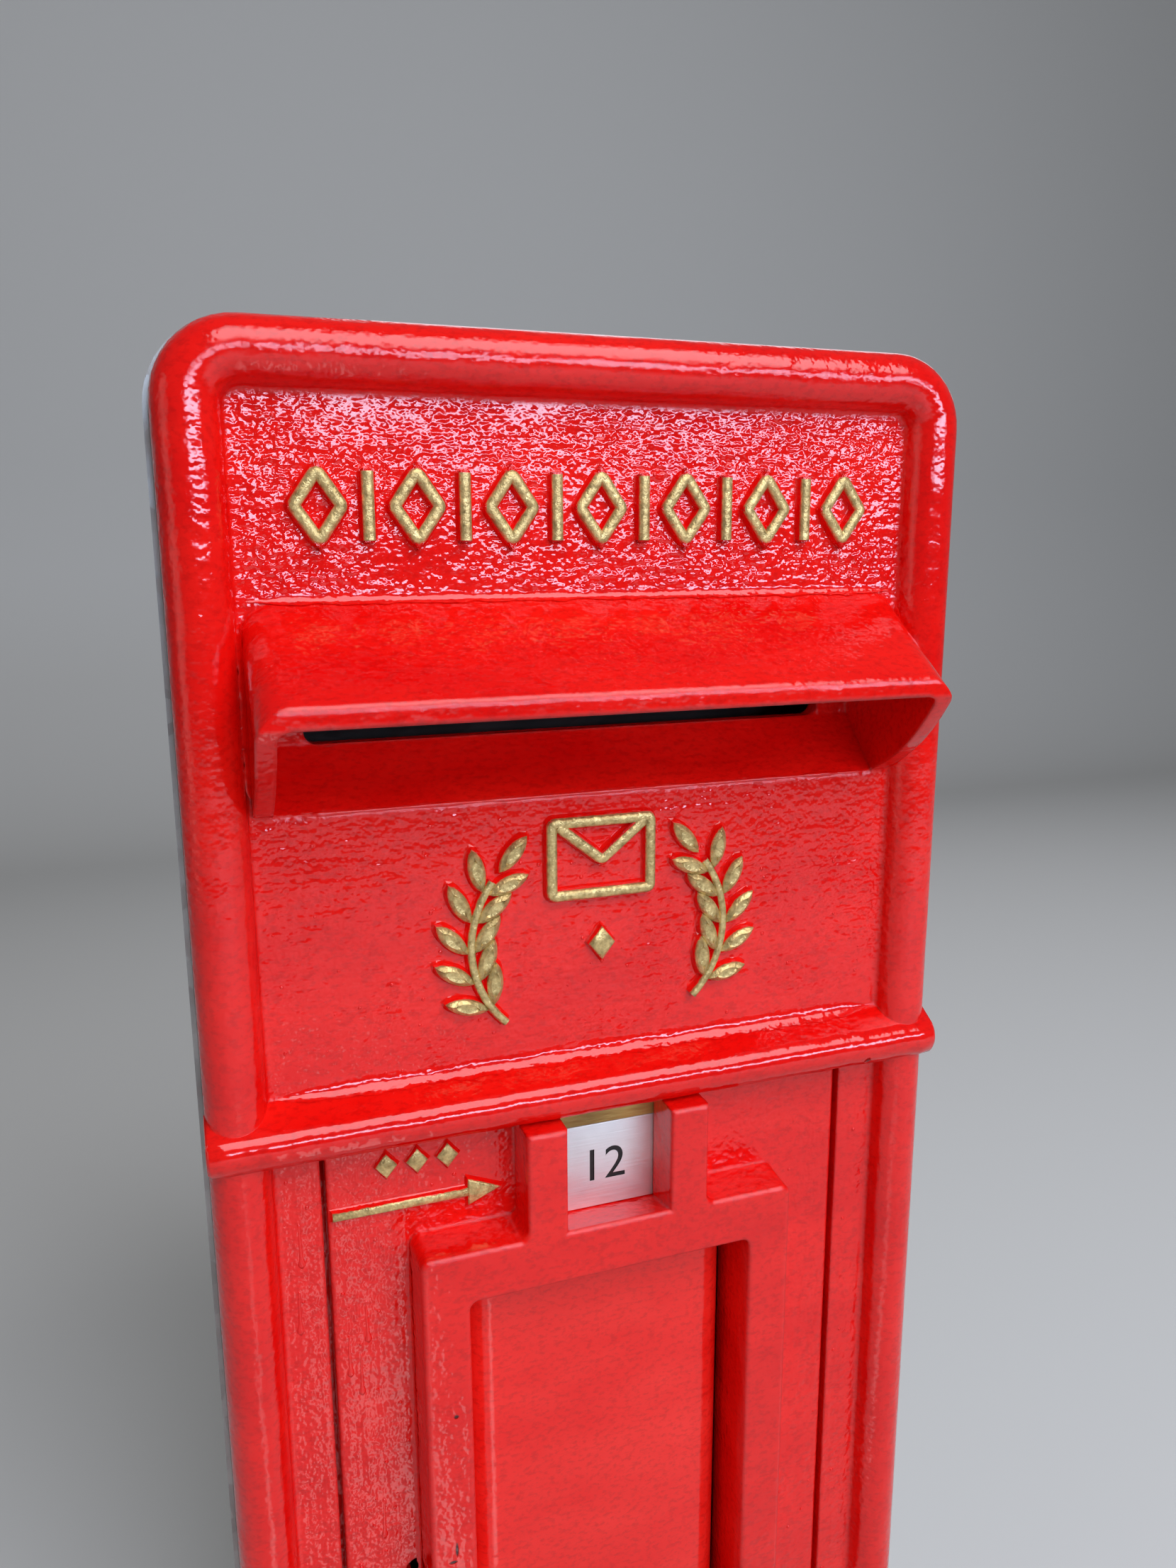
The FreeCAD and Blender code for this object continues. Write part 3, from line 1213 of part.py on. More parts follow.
def back_plate():
    """The wall plate, with a riveted flange on each side and four wall holes."""
    body = new_body("back_plate")
    sketch = new_sketch(body, "back_outline", "XZ_Plane")
    ring_outline(sketch, "0")
    for a in "-+":
        for b in "-+":
            circle(sketch, f"{a}wall_hole_spacing_x / 2", f"{b}wall_hole_spacing_z / 2", "wall_hole_radius")
    pad(body, "back", sketch, "back_sheet")
    for name, outer, inner in (("left", f"-{BODY_INSIDE}", f"-{BODY_INSIDE} + back_sheet"),
                               ("right", f"{BODY_INSIDE} - back_sheet", BODY_INSIDE)):
        sketch = new_sketch(body, f"{name}_flange_outline", "XZ_Plane")
        block_outline(sketch, outer, inner, "-back_flange_height / 2", "back_flange_height / 2")
        pad(body, f"{name}_flange", sketch, "back_flange")
    sketch = side_sketch(body, "flange_rivet_places")
    for y, z in rivet_places():
        circle(sketch, y, z, "rivet_radius")
    pocket(body, "flange_rivet_holes", sketch, "overall_width + 4 * body_sheet", both_ways=True)


def back_rivets():
    """Flat-headed rivets through the sleeve and the flanges of the back plate."""
    members = []
    for side, sign in (("left", "-"), ("right", "")):
        for number, (y, z) in enumerate(rivet_places(), start=1):
            members.append(rivet(f"rivet_{side}_{number}", sign, y, z))
    group("back_rivets", members)


def rivet(name, sign, y, z):
    """One rivet along X, with a flat head on each side of the two sheets."""
    inner, outer = f"({BODY_INSIDE} - back_sheet)", f"({BODY_INSIDE} + body_sheet)"
    head = "rivet_head_height"
    stretches = [(inner, outer, "rivet_radius"), (outer, f"{outer} + {head}", "rivet_head_radius")]
    stretches.append((f"{inner} - {head}", inner, "rivet_head_radius"))
    pieces = []
    for number, (start, end, radius) in enumerate(stretches):
        piece = doc.addObject("Part::Cylinder", f"{name}_{number}")
        piece.setExpression("Radius", bound(radius))
        piece.setExpression("Height", bound(f"({end}) - ({start})"))
        piece.Placement = Placement(Vector(), Rotation(Vector(0, 1, 0), 90))
        piece.setExpression("Placement.Base.x", bound(f"-({end})" if sign == "-" else start))
        piece.setExpression("Placement.Base.y", bound(y))
        piece.setExpression("Placement.Base.z", bound(z))
        pieces.append(piece)
    fused = doc.addObject("Part::MultiFuse", name)
    fused.Shapes = pieces
    return fused


def body_brackets():
    """Four angles welded inside the sleeve, behind the bosses of the casting."""
    members = []
    seat = "(-flange_depth)"
    for number, (x, z) in enumerate(boss_places(), start=1):
        body = doc.addObject("PartDesign::Body", f"bracket_{number}")
        sign = -1 if x.startswith("-") else 1
        wall, tip = f"{sign} * {BODY_INSIDE}", f"{sign} * ({BODY_INSIDE} - bracket_arm)"
        inside = f"{sign} * ({BODY_INSIDE} - bracket_sheet)"
        sketch = plan_sketch(body, f"bracket_section_{number}", f"{z} - bracket_height / 2")
        outline(sketch, [
            (wall, fore(seat)), (wall, fore(f"{seat} - bracket_leg")), (inside, fore(f"{seat} - bracket_leg")),
            (inside, fore(f"{seat} - bracket_sheet"), "bracket_sheet / 2"),
            (tip, fore(f"{seat} - bracket_sheet")), (tip, fore(seat)),
        ])
        pad(body, f"angle_{number}", sketch, "bracket_height")
        sketch = front_sketch(body, f"bracket_hole_place_{number}", seat)
        circle(sketch, x, z, "body_bolt_radius + body_bolt_clearance")
        pocket(body, f"bracket_hole_{number}", sketch, "bracket_sheet + cut_past")
        members.append(body)
    group("body_brackets", members)


def body_bolts():
    """Hexagon bolts through the brackets into the bosses."""
    members = []
    seat = fore("-flange_depth - bracket_sheet")
    for number, (x, z) in enumerate(boss_places(), start=1):
        shank = doc.addObject("Part::Cylinder", f"bolt_shank_{number}")
        shank.setExpression("Radius", bound("body_bolt_radius"))
        shank.setExpression("Height", bound("body_bolt_grip + bracket_sheet - body_bolt_end_gap"))
        head = doc.addObject("Part::Prism", f"bolt_head_{number}")
        head.Polygon = 6
        head.setExpression("Circumradius", bound("body_bolt_head_radius"))
        head.setExpression("Height", bound("body_bolt_head_height"))
        for piece, start in ((shank, seat), (head, f"{seat} + body_bolt_head_height")):
            piece.Placement = Placement(Vector(), Rotation(Vector(1, 0, 0), 90))
            piece.setExpression("Placement.Base.x", bound(x))
            piece.setExpression("Placement.Base.y", bound(start))
            piece.setExpression("Placement.Base.z", bound(z))
        bolt = doc.addObject("Part::Fuse", f"body_bolt_{number}")
        bolt.Base, bolt.Tool = shank, head
        members.append(bolt)
    group("body_bolts", members)


def check_and_write():
    """Stops on a failed object or shape, then writes one file for each piece."""
    doc.recompute()
    for item in doc.Objects:
        if "Invalid" in item.State or "Error" in item.State:
            raise RuntimeError(f"{item.Name} failed: {item.State}")
    for item in sub_parts:
        if item.Shape.isNull() or not item.Shape.isValid():
            raise RuntimeError(f"{item.Label} has no valid shape")
    os.makedirs("parts", exist_ok=True)
    for item in sub_parts:
        item.Shape.exportStep(f"parts/{item.Label}.step")
        print(item.Label, len(item.Shape.Solids), round(item.Shape.Volume))


fill_sheet()
front_casting()
front_door()
hinge_pins()
hinge_washer()
collection_plate()
plate_clips()
screw_set("clip_screws", clip_screw_places(), "-door_thickness - clip_sheet", "clip_sheet + small_screw_grip")
day_tablet()
tablet_holder()
screw_set("holder_screws", holder_screw_places(), "-door_thickness - holder_plate",
          "holder_plate + small_screw_grip")
lock_case()
lock_cap()
lock_bolt()
lock_spring()
screw_set("lock_screws", lock_screw_places(), "-door_thickness - lock_depth", "lock_depth + small_screw_grip")
lock_keep()
screw_set("keep_screws", keep_screw_places(), f"{STOP_BACK} - keep_sheet", "keep_sheet + keep_screw_grip")
letter_baffle()
screw_set("baffle_screws", baffle_screw_places(), "-mouth_depth - mouth_wall - baffle_sheet",
          "baffle_sheet + small_screw_grip")
body_shell()
back_plate()
back_rivets()
body_brackets()
body_bolts()
check_and_write()
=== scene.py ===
"""The looks of a cast iron wall post box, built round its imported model.

X runs to the right as seen from the street, Y into the wall, Z up, in metres.
The tables hold millimetres, and so do the sizes of the patterns in the finishes.
"""

import math
import random

import bmesh
import bpy
from mathutils import Matrix, Vector


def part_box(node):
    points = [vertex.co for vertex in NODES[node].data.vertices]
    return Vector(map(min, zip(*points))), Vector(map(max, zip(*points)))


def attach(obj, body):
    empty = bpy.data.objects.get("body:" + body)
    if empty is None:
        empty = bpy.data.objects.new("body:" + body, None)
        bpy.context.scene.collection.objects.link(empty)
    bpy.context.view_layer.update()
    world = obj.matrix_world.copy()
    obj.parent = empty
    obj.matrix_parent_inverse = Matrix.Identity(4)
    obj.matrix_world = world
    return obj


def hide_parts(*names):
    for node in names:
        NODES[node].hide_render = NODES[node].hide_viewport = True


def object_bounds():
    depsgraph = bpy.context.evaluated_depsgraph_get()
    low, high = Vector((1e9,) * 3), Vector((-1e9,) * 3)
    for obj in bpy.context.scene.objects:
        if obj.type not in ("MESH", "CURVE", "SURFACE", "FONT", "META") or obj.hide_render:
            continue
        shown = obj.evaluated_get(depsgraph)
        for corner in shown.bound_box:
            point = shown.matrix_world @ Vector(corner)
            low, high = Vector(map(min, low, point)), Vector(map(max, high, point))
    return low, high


bl_info = {
    "name": "Wall Post Box",
    "version": (1, 0, 0),
    "blender": (4, 5, 0),
    "location": "View3D > Sidebar > Post Box",
    "description": "Builds the ornament, fittings and finishes of a cast iron wall post box",
    "category": "Add Mesh",
}

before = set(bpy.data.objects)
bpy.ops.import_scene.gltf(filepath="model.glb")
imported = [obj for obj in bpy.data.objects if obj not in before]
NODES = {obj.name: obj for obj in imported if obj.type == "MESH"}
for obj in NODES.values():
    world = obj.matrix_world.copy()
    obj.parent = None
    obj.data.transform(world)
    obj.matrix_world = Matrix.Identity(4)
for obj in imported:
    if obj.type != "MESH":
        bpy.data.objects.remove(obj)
CAD_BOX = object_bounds()

MM = 0.001
FACE_Y = -165.0 * MM
TOP_Z = CAD_BOX[1].z - 1.7 * MM

# How far the band, the panel and the door begin below the top of the casting
BAND_DROP, PANEL_DROP, DOOR_DROP = 37.5, 138.8, 243.8
# Half the width of a raised stroke
HALF_STROKE = 1.5
# The left sprig's stem: centre of its arc in X and below the top, and radius
SPRIG_CENTRE, SPRIG_RADIUS = (-8.0, PANEL_DROP + 47.2), 36.0
# The arrow's tail and the pips' half width on the door
MARK_LEFT, HALF_PIP = -91.0, 3.4
# Runs of paint on a square millimetre
RUN_SHARE = 0.0016
# Fields of the front: left, right, and how far below the top they begin and end
RUN_AREAS = {"box": [(-106, -96, 250, 560)], "door": [(-91, -70, 286, 540)]}
PIMPLE_AREAS = {
    "box": [(-104, 104, 22, 75), (-104, 104, 143, 226), (-106, -96, 250, 560), (96, 106, 250, 560)],
    "door": [(-90, -69, 280, 540), (70, 90, 280, 540), (-90, -40, 246, 278)],
}
# Blemishes of the casting: middle and half sizes in X, Y and Z
PITS = (
    ((-56.4, -181.0, -51.4), (0.8, 1.5, 0.7)),
    ((-57.6, -181.0, -103.0), (0.5, 1.5, 2.8)),
    ((-59.0, -181.0, -107.5), (1.4, 1.5, 0.6)),
    ((98.5, -175.5, 47.6), (1.6, 1.8, 1.5)),
    ((31.0, -174.0, 289.0), (1.0, 1.6, 0.8)),
)
# The part of a noise's range in which most of it lies
NOISE = (0.35, 0.65)


def linear(hex_colour):
    """An sRGB hex colour as linear red, green, blue and alpha."""
    parts = [int(hex_colour[i:i + 2], 16) / 255 for i in (1, 3, 5)]
    return tuple(c / 12.92 if c <= 0.04045 else ((c + 0.055) / 1.055) ** 2.4 for c in parts) + (1.0,)


def drop(distance):
    """The height Z of a distance in millimetres below the top of the casting."""
    return TOP_Z - distance * MM


class PostBoxLooks(bpy.types.PropertyGroup):
    """Sizes and colours that a user would change."""

    enamel: bpy.props.FloatVectorProperty(
        name="Enamel", description="Red of the glossy enamel where it is thick", subtype="COLOR",
        size=4, default=linear("#E80806"), min=0, max=1)
    enamel_thin: bpy.props.FloatVectorProperty(
        name="Thin enamel", description="Red of the enamel where it was brushed thin", subtype="COLOR",
        size=4, default=linear("#F6170F"), min=0, max=1)
    gilt: bpy.props.FloatVectorProperty(
        name="Gilt", description="Gold paint on the raised ornament", subtype="COLOR",
        size=4, default=linear("#E8CC8A"), min=0, max=1)
    brass: bpy.props.FloatVectorProperty(
        name="Brass", description="Bare brass of the tablet holder", subtype="COLOR",
        size=4, default=linear("#CDAA62"), min=0, max=1)
    sheet: bpy.props.FloatVectorProperty(
        name="Sheet steel", description="Galvanised sheet of the body", subtype="COLOR",
        size=4, default=linear("#AEB1AF"), min=0, max=1)
    crown: bpy.props.FloatProperty(
        name="Ornament crown", description="How far the ornament's rounded top stands over the face",
        subtype="DISTANCE", default=3.3 * MM, min=2.9 * MM, max=4 * MM)
    numeral: bpy.props.StringProperty(
        name="Numeral", description="Plain number engraved in the tablet", default="12")
    pimple_density: bpy.props.FloatProperty(
        name="Pimples", description="Small casting pimples on a square metre", default=5200, min=0, max=20000)
    seed: bpy.props.IntProperty(
        name="Seed", description="Seed of what is scattered", default=7, min=0)


# ---------------------------------------------------------------- materials

def add(tree, kind, settings=None, inputs=None):
    """Adds one node with its settings, and fills or links its inputs, by name or in order."""
    node = tree.nodes.new(kind)
    for name, setting in (settings or {}).items():
        setattr(node, name, setting)
    if isinstance(inputs, list):
        inputs = dict(enumerate(inputs))
    for name, source in (inputs or {}).items():
        if isinstance(source, bpy.types.Node):
            source = next(output for output in source.outputs if output.enabled)
        if isinstance(source, bpy.types.NodeSocket):
            tree.links.new(source, node.inputs[name])
        elif source is not None:
            node.inputs[name].default_value = source
    return node


def new_material(name):
    """The empty tree of a new material, and the place on the object."""
    material = bpy.data.materials.new(name)
    material.use_nodes = True
    tree = material.node_tree
    tree.nodes.clear()
    return tree, add(tree, "ShaderNodeTexCoord").outputs["Object"]


def grain(tree, place, size, stretch=(1, 1, 1), detail=2.0, rough=0.5):
    """Noise of a size in millimetres, drawn out along the axes by the stretch."""
    mapped = add(tree, "ShaderNodeMapping", {}, {"Vector": place, "Scale": stretch})
    return add(tree, "ShaderNodeTexNoise", {}, {
        "Vector": mapped, "Scale": 1 / (size * MM), "Detail": detail, "Roughness": rough})


def pits(tree, place):
    """How deep a point lies in one of the blemishes, from 0 to 1."""
    total = 0.0
    for middle, half in PITS:
        moved = add(tree, "ShaderNodeVectorMath", {"operation": "SUBTRACT"}, [place, Vector(middle) * MM])
        scaled = add(tree, "ShaderNodeVectorMath", {"operation": "DIVIDE"}, [moved, Vector(half) * MM])
        far = add(tree, "ShaderNodeVectorMath", {"operation": "LENGTH"}, [scaled])
        depth = add(tree, "ShaderNodeMapRange", {}, [far, 0.55, 1.1, 1.0, 0.0])
        total = add(tree, "ShaderNodeMath", {"operation": "MAXIMUM"}, [total, depth])
    return total


def enamel_shader(tree, place, colours, peel=1.0, softened=0.0):
    """Gloss enamel, brushed on in thick coats over cast iron as it left the sand."""
    # From 0 to 1 up to the fascia, down to the door, and out from the face plane
    axes = add(tree, "ShaderNodeSeparateXYZ", {}, [place]).outputs
    on_fascia, on_door, raised = (
        add(tree, "ShaderNodeMapRange", {}, [axes[axis], start, end])
        for axis, start, end in (("Z", 0.196, 0.222), ("Z", 0.048, 0.040), ("Y", -0.1665, -0.1695)))

    def by_field(panel, fascia, door, proud):
        """A number that changes from the panel to the fascia, the door and what stands proud."""
        for factor, goal in ((on_fascia, fascia), (on_door, door), (raised, proud)):
            panel = add(tree, "ShaderNodeMix", {}, {0: factor, 2: panel, 3: goal})
        return panel

    # Brush marks lie across on the panel and the fascia, and down on the door
    across = grain(tree, place, 2.326, (0.10, 1, 1), 1.5)
    down = grain(tree, place, 3.846, (1, 1, 0.06), 1.8)
    brushed = add(tree, "ShaderNodeMix", {}, {0: on_door, 2: across, 3: down})
    # Some patches are rougher than others
    patches = grain(tree, place, 22.22)
    patches = add(tree, "ShaderNodeMapRange", {}, [patches, *NOISE, 0.45 * peel, 1.15 * peel])
    peeled, streaked = (
        add(tree, "ShaderNodeMath", {"operation": "MULTIPLY"}, [by_field(*shares), patches])
        for shares in ((0.56, 0.64, 0.56, 0.27), (0.32, 0.34, 0.58, 0.08)))
    pitted = pits(tree, place)
    sunk = add(tree, "ShaderNodeMath", {"operation": "MULTIPLY"}, [pitted, -1.0])
    # Lumps of the casting, orange peel, brush marks and pits, each with its depth in millimetres
    normal = add(tree, "ShaderNodeBevel", {"samples": 4}, {"Radius": softened}) if softened else None
    for height, depth, strength in ((grain(tree, place, 13.33, detail=1.5), 1.2, 0.55 * peel),
                                    (grain(tree, place, 2.326, detail=1.2), 0.95, peeled),
                                    (brushed, 0.8, streaked), (sunk, 0.8, 1.0)):
        normal = add(tree, "ShaderNodeBump", {}, {
            "Height": height, "Distance": depth * MM, "Strength": strength, "Normal": normal})
    # The red is brighter where it was brushed thin and darker in fine specks; in the pits it is darkened as
    # painted shade in their hollows
    thin = add(tree, "ShaderNodeMapRange", {}, [grain(tree, place, 26.32, (0.4, 1, 1), 4.0, 0.6), *NOISE])
    specks = grain(tree, place, 1.786, (0.6, 1, 1), 2.5, 0.65)
    specks = add(tree, "ShaderNodeMapRange", {}, [specks, 0.34, 0.52, 0.34, 0.0])
    colour = colours[0]
    # The near-black red #4A0606 in the pits is painted shade, deepest at each pit's middle
    for factor, other in ((thin, colours[1]), (specks, linear("#B40505")), (pitted, linear("#4A0606"))):
        colour = add(tree, "ShaderNodeMix", {"data_type": "RGBA"}, {0: factor, 6: colour, 7: other})
    return add(tree, "ShaderNodeBsdfPrincipled", {}, {
        "Base Color": colour,
        "Roughness": add(tree, "ShaderNodeMapRange", {}, [brushed, *NOISE, 0.06, 0.11]),
        "IOR": 1.52,
        "Normal": normal,
    })


def make_enamel(name, colours, peel, softened):
    """Enamel with a share of the full orange peel, and edges softened by a radius."""
    tree, place = new_material(name)
    add(tree, "ShaderNodeOutputMaterial", {}, [enamel_shader(tree, place, colours, peel, softened * MM)])


def make_gilded_enamel(name, looks, start):
    """Gold paint laid by hand on the raised tops, from a start height on, over enamel."""
    tree, place = new_material(name)
    enamel = enamel_shader(tree, place, (looks.enamel, looks.enamel_thin), 0.6)
    grit = grain(tree, place, 1.613, rough=0.6)
    mottle = grain(tree, place, 2.632, detail=3.0, rough=0.65)
    dark = [0.3 * gold + 0.7 * brown for gold, brown in zip(looks.gilt, linear("#6A501E"))]
    spots = add(tree, "ShaderNodeMapRange", {}, [mottle, 0.3, 0.7])
    gold = add(tree, "ShaderNodeBsdfPrincipled", {}, {
        "Base Color": add(tree, "ShaderNodeMix", {"data_type": "RGBA"}, {0: spots, 6: dark, 7: looks.gilt}),
        "Metallic": 0.6,
        "Roughness": add(tree, "ShaderNodeMapRange", {}, [grit, *NOISE, 0.3, 0.48]),
        "Normal": add(tree, "ShaderNodeBump", {}, {"Height": grit, "Distance": 0.45 * MM, "Strength": 0.9}),
    })
    # The brush left a ragged lower edge
    depth = add(tree, "ShaderNodeSeparateXYZ", {}, [place]).outputs["Y"]
    ragged = add(tree, "ShaderNodeMath", {"operation": "MULTIPLY_ADD"}, [mottle, 1.2 * MM, depth])
    brink = FACE_Y - (start - 0.6) * MM
    share = add(tree, "ShaderNodeMapRange", {}, [ragged, brink + 0.12 * MM, brink - 0.12 * MM])
    add(tree, "ShaderNodeOutputMaterial", {}, [add(tree, "ShaderNodeMixShader", {}, [share, enamel, gold])])


def make_metal(name, light, dark, rough, size, stretch=(1, 1, 1), depth=0.03, metallic=1.0, crystal=0.0):
    """A metal whose marks are drawn out along one axis, with crystals where their size is set."""
    tree, place = new_material(name)
    marks = grain(tree, place, size, stretch, 4.0, 0.6)
    blotches = add(tree, "ShaderNodeMapRange", {}, [grain(tree, place, 28.57, detail=3.0), *NOISE])
    colour = add(tree, "ShaderNodeMix", {"data_type": "RGBA"}, {0: blotches, 6: dark, 7: light})
    gloss = [marks, *NOISE, *rough]
    if crystal:
        cells = add(tree, "ShaderNodeTexVoronoi", {}, {"Vector": place, "Scale": 1 / (crystal * MM)})
        tone = add(tree, "ShaderNodeSeparateColor", {}, [cells.outputs["Color"]]).outputs
        bright = add(tree, "ShaderNodeMapRange", {}, [tone[0], 0, 1, 0.1, 0.75])
        colour = add(tree, "ShaderNodeMix", {"data_type": "RGBA"}, {0: bright, 6: colour, 7: light})
        gloss = [tone[1], 0, 1, *rough]
    surface = add(tree, "ShaderNodeBsdfPrincipled", {}, {
        "Base Color": colour,
        "Metallic": metallic,
        "Roughness": add(tree, "ShaderNodeMapRange", {}, gloss),
        "Normal": add(tree, "ShaderNodeBump", {}, {"Height": marks, "Distance": depth * MM, "Strength": 0.6}),
    })
    add(tree, "ShaderNodeOutputMaterial", {}, [surface])


def make_materials(looks):
    """Every finish of the box."""
    reds = (looks.enamel, looks.enamel_thin)
    # Cast iron front: thick gloss that pools in the hollows, so highlights break up
    make_enamel("gloss_enamel_on_cast_iron", reds, 1.0, 1.8)
    # Pooled and run paint: the same gloss where it lies thick and smooth
    make_enamel("thick_gloss_enamel", reds, 0.45, 0.0)
    # Pressed steel plate: the same enamel on a smoother ground
    make_enamel("gloss_enamel_on_pressed_steel", (looks.enamel_thin, linear("#FF2A20")), 0.22, 1.2)
    # Gold paint: satin and gritty on the tops, with red flanks below
    make_gilded_enamel("gilt_paint_on_enamel", looks, 2.15)
    # The same gold on the low mark of the door
    make_gilded_enamel("gilt_paint_on_low_mark", looks, 1.5)
    # Hot dip galvanised sheet: grey crystals in soft blotches
    make_metal("galvanised_sheet", looks.sheet, linear("#8C8F8C"), (0.34, 0.5), 6.25,
               depth=0.02, metallic=0.85, crystal=7.69)
    # Sawn brass bar: coarse saw marks along its length
    make_metal("sawn_brass", looks.brass, linear("#8A7040"), (0.42, 0.6), 1.923, (0.16, 1, 1), 0.8, 0.7)
    # Aluminium, brushed along its length: a pale satin. The lines are coarser than real ones, to show
    make_metal("brushed_aluminium", linear("#F2F2F0"), linear("#DEDFDE"), (0.42, 0.58), 0.8333,
               (0.05, 1, 1), 0.12, 0.7)
    # Turned steel pins: fine rings round a bright shank
    make_metal("turned_steel", linear("#A9AAAC"), linear("#85868A"), (0.22, 0.34), 3.846, (1, 1, 14), 0.01)
    # Bright zinc plate, with a faint yellow cast
    make_metal("zinc_plated_steel", linear("#C3C2B6"), linear("#9C9B8E"), (0.28, 0.42), 2.0, depth=0.01)
    # Pressed steel of the lock, dull and dark from oil
    make_metal("dull_pressed_steel", linear("#77787A"), linear("#55565A"), (0.4, 0.58), 3.846)
    # Blued spring steel, smooth and dark
    make_metal("spring_steel", linear("#55586A"), linear("#3A3C48"), (0.25, 0.35), 1.429, (0.1, 1, 1), 0.01)
    # Black paint rubbed into the engraving
    make_metal("engraving_paint", linear("#22211F"), linear("#141312"), (0.5, 0.7), 1.429,
               depth=0.02, metallic=0.0)


# ------------------------------------------------------------------ meshes

def mesh_object(name, data):
    """A new object in the scene."""
    item = bpy.data.objects.new(name, data)
    bpy.context.scene.collection.objects.link(item)
    return item


def from_bmesh(name, work, merge=True):
    """Closes up a bmesh as an object with its faces turned outwards."""
    if merge:
        bmesh.ops.remove_doubles(work, verts=work.verts, dist=1e-7)
    bmesh.ops.recalc_face_normals(work, faces=work.faces)
    data = bpy.data.meshes.new(name)
    work.to_mesh(data)
    work.free()
    return mesh_object(name, data)


def finish_piece(piece, body, material, replaced=(), sharp=50):
    """Gives a piece its finish and its body, sharpens edges past an angle in degrees, and hides
    the nodes it stands for."""
    if material is not None:
        piece.data.materials.clear()
        piece.data.materials.append(material)
    piece.data.shade_smooth()
    piece.data.set_sharp_from_angle(angle=math.radians(sharp))
    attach(piece, body)
    if replaced:
        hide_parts(*replaced)


def applied(name, source, *helpers):
    """The evaluated shape of an object as a plain mesh. The source and its helpers go."""
    graph = bpy.context.evaluated_depsgraph_get()
    graph.update()
    data = bpy.data.meshes.new_from_object(source.evaluated_get(graph))
    data.name = name
    for item in (source, *helpers):
        bpy.data.objects.remove(item)
    return mesh_object(name, data)


def rounded_path(points, radius, closed, steps=4):
    """A path with arcs of a radius at its corners, in X and Z."""
    path, count = [], len(points)
    for index, corner in enumerate(points):
        corner = Vector(corner)
        if not closed and index in (0, count - 1):
            path.append(corner)
            continue
        before, after = Vector(points[index - 1]), Vector(points[(index + 1) % count])
        inward, outward = (corner - before).normalized(), (after - corner).normalized()
        shortest = min((corner - before).length, (after - corner).length)
        run = min(radius * math.tan(inward.angle(outward) / 2), shortest * 0.45)
        start, end = corner - inward * run, corner + outward * run
        for step in range(steps + 1):
            t = step / steps
            path.append((1 - t) ** 2 * start + 2 * t * (1 - t) * corner + t * t * end)
    return path


def join_rings(work, rings, looped=False, capped=True):
    """Joins closed rings of vertices one to the next, with a cap at each open end."""
    for first, second in zip(rings, rings[1:] + rings[:1] if looped else rings[1:]):
        for index in range(len(first)):
            after = (index + 1) % len(first)
            work.faces.new((first[index], first[after], second[after], second[index]))
    if capped and not looped:
        work.faces.new(rings[0])
        work.faces.new(rings[-1])


def loft(work, rings):
    """Adds a closed shape through rings of points."""
    join_rings(work, [[work.verts.new(point) for point in ring] for ring in rings])


def over_face(work, x, z, high):
    """A vertex that stands high over the face plane."""
    return work.verts.new((x, FACE_Y - high, z))


def ridge(work, path, closed, half, crown):
    """Adds a raised stroke along a path, with a skirt of paint, steep flanks and a rounded top.

    It clears a flat-topped core of the width 2 * half and 2.8 mm high."""
    section = [(half + wide * MM, high * MM) for wide, high in (
        (1.25, -0.12), (0.72, 0.34), (0.46, 1.3), (0.26, 2.3), (0.02, 2.84))]
    section += [(half * 0.55, crown - 0.08 * MM), (0, crown)]
    section += [(-across, high) for across, high in reversed(section[:-1])]
    rows, count = [], len(path)
    for index, point in enumerate(path):
        before = path[index - 1] if closed or index else point
        after = path[(index + 1) % count] if closed or index < count - 1 else point
        inward, outward = (point - before), (after - point)
        inward = inward.normalized() if inward.length else outward.normalized()
        outward = outward.normalized() if outward.length else inward
        along = (inward + outward).normalized()
        side = Vector((-along.y, along.x)) / max(0.5, along.dot(inward))
        rows.append([over_face(work, point.x + side.x * across, point.y + side.y * across, high)
                     for across, high in section])
    join_rings(work, rows, looped=closed)


def pillow(work, rings, centre_line):
    """Adds a closed raised shape from rings of (x, z, high) and a last line of points."""
    made = [[over_face(work, *point) for point in ring] for ring in rings]
    join_rings(work, made, capped=False)
    work.faces.new(made[0])
    last, half = made[-1], len(made[0]) // 2
    chain = [last[0], *(over_face(work, *point) for point in centre_line), last[half]]
    for index in range(half):
        for outer in ((last[index], last[index + 1]), (last[-index % (2 * half)], last[-index - 1])):
            corners = [*outer, chain[index + 1], chain[index]]
            corners = [c for n, c in enumerate(corners) if c not in corners[:n]]
            if len(corners) > 2:
                work.faces.new(corners)


# ---------------------------------------------------------- geometry nodes

def new_tree(name, sockets):
    """An empty tree with its named inputs, of which the first is the geometry."""
    tree = bpy.data.node_groups.new(name, "GeometryNodeTree")
    for label, kind in sockets.items():
        tree.interface.new_socket(label, in_out="INPUT", socket_type=f"NodeSocket{kind}")
    tree.interface.new_socket("Result", in_out="OUTPUT", socket_type="NodeSocketGeometry")
    return tree, add(tree, "NodeGroupInput").outputs


def end_tree(tree, copies, finish):
    """Makes a tree's copies real and gives them their finish."""
    real = add(tree, "GeometryNodeRealizeInstances", {}, [copies])
    coated = add(tree, "GeometryNodeSetMaterial", {}, {"Geometry": real, "Material": finish})
    add(tree, "NodeGroupOutput", {}, [coated])
    return tree


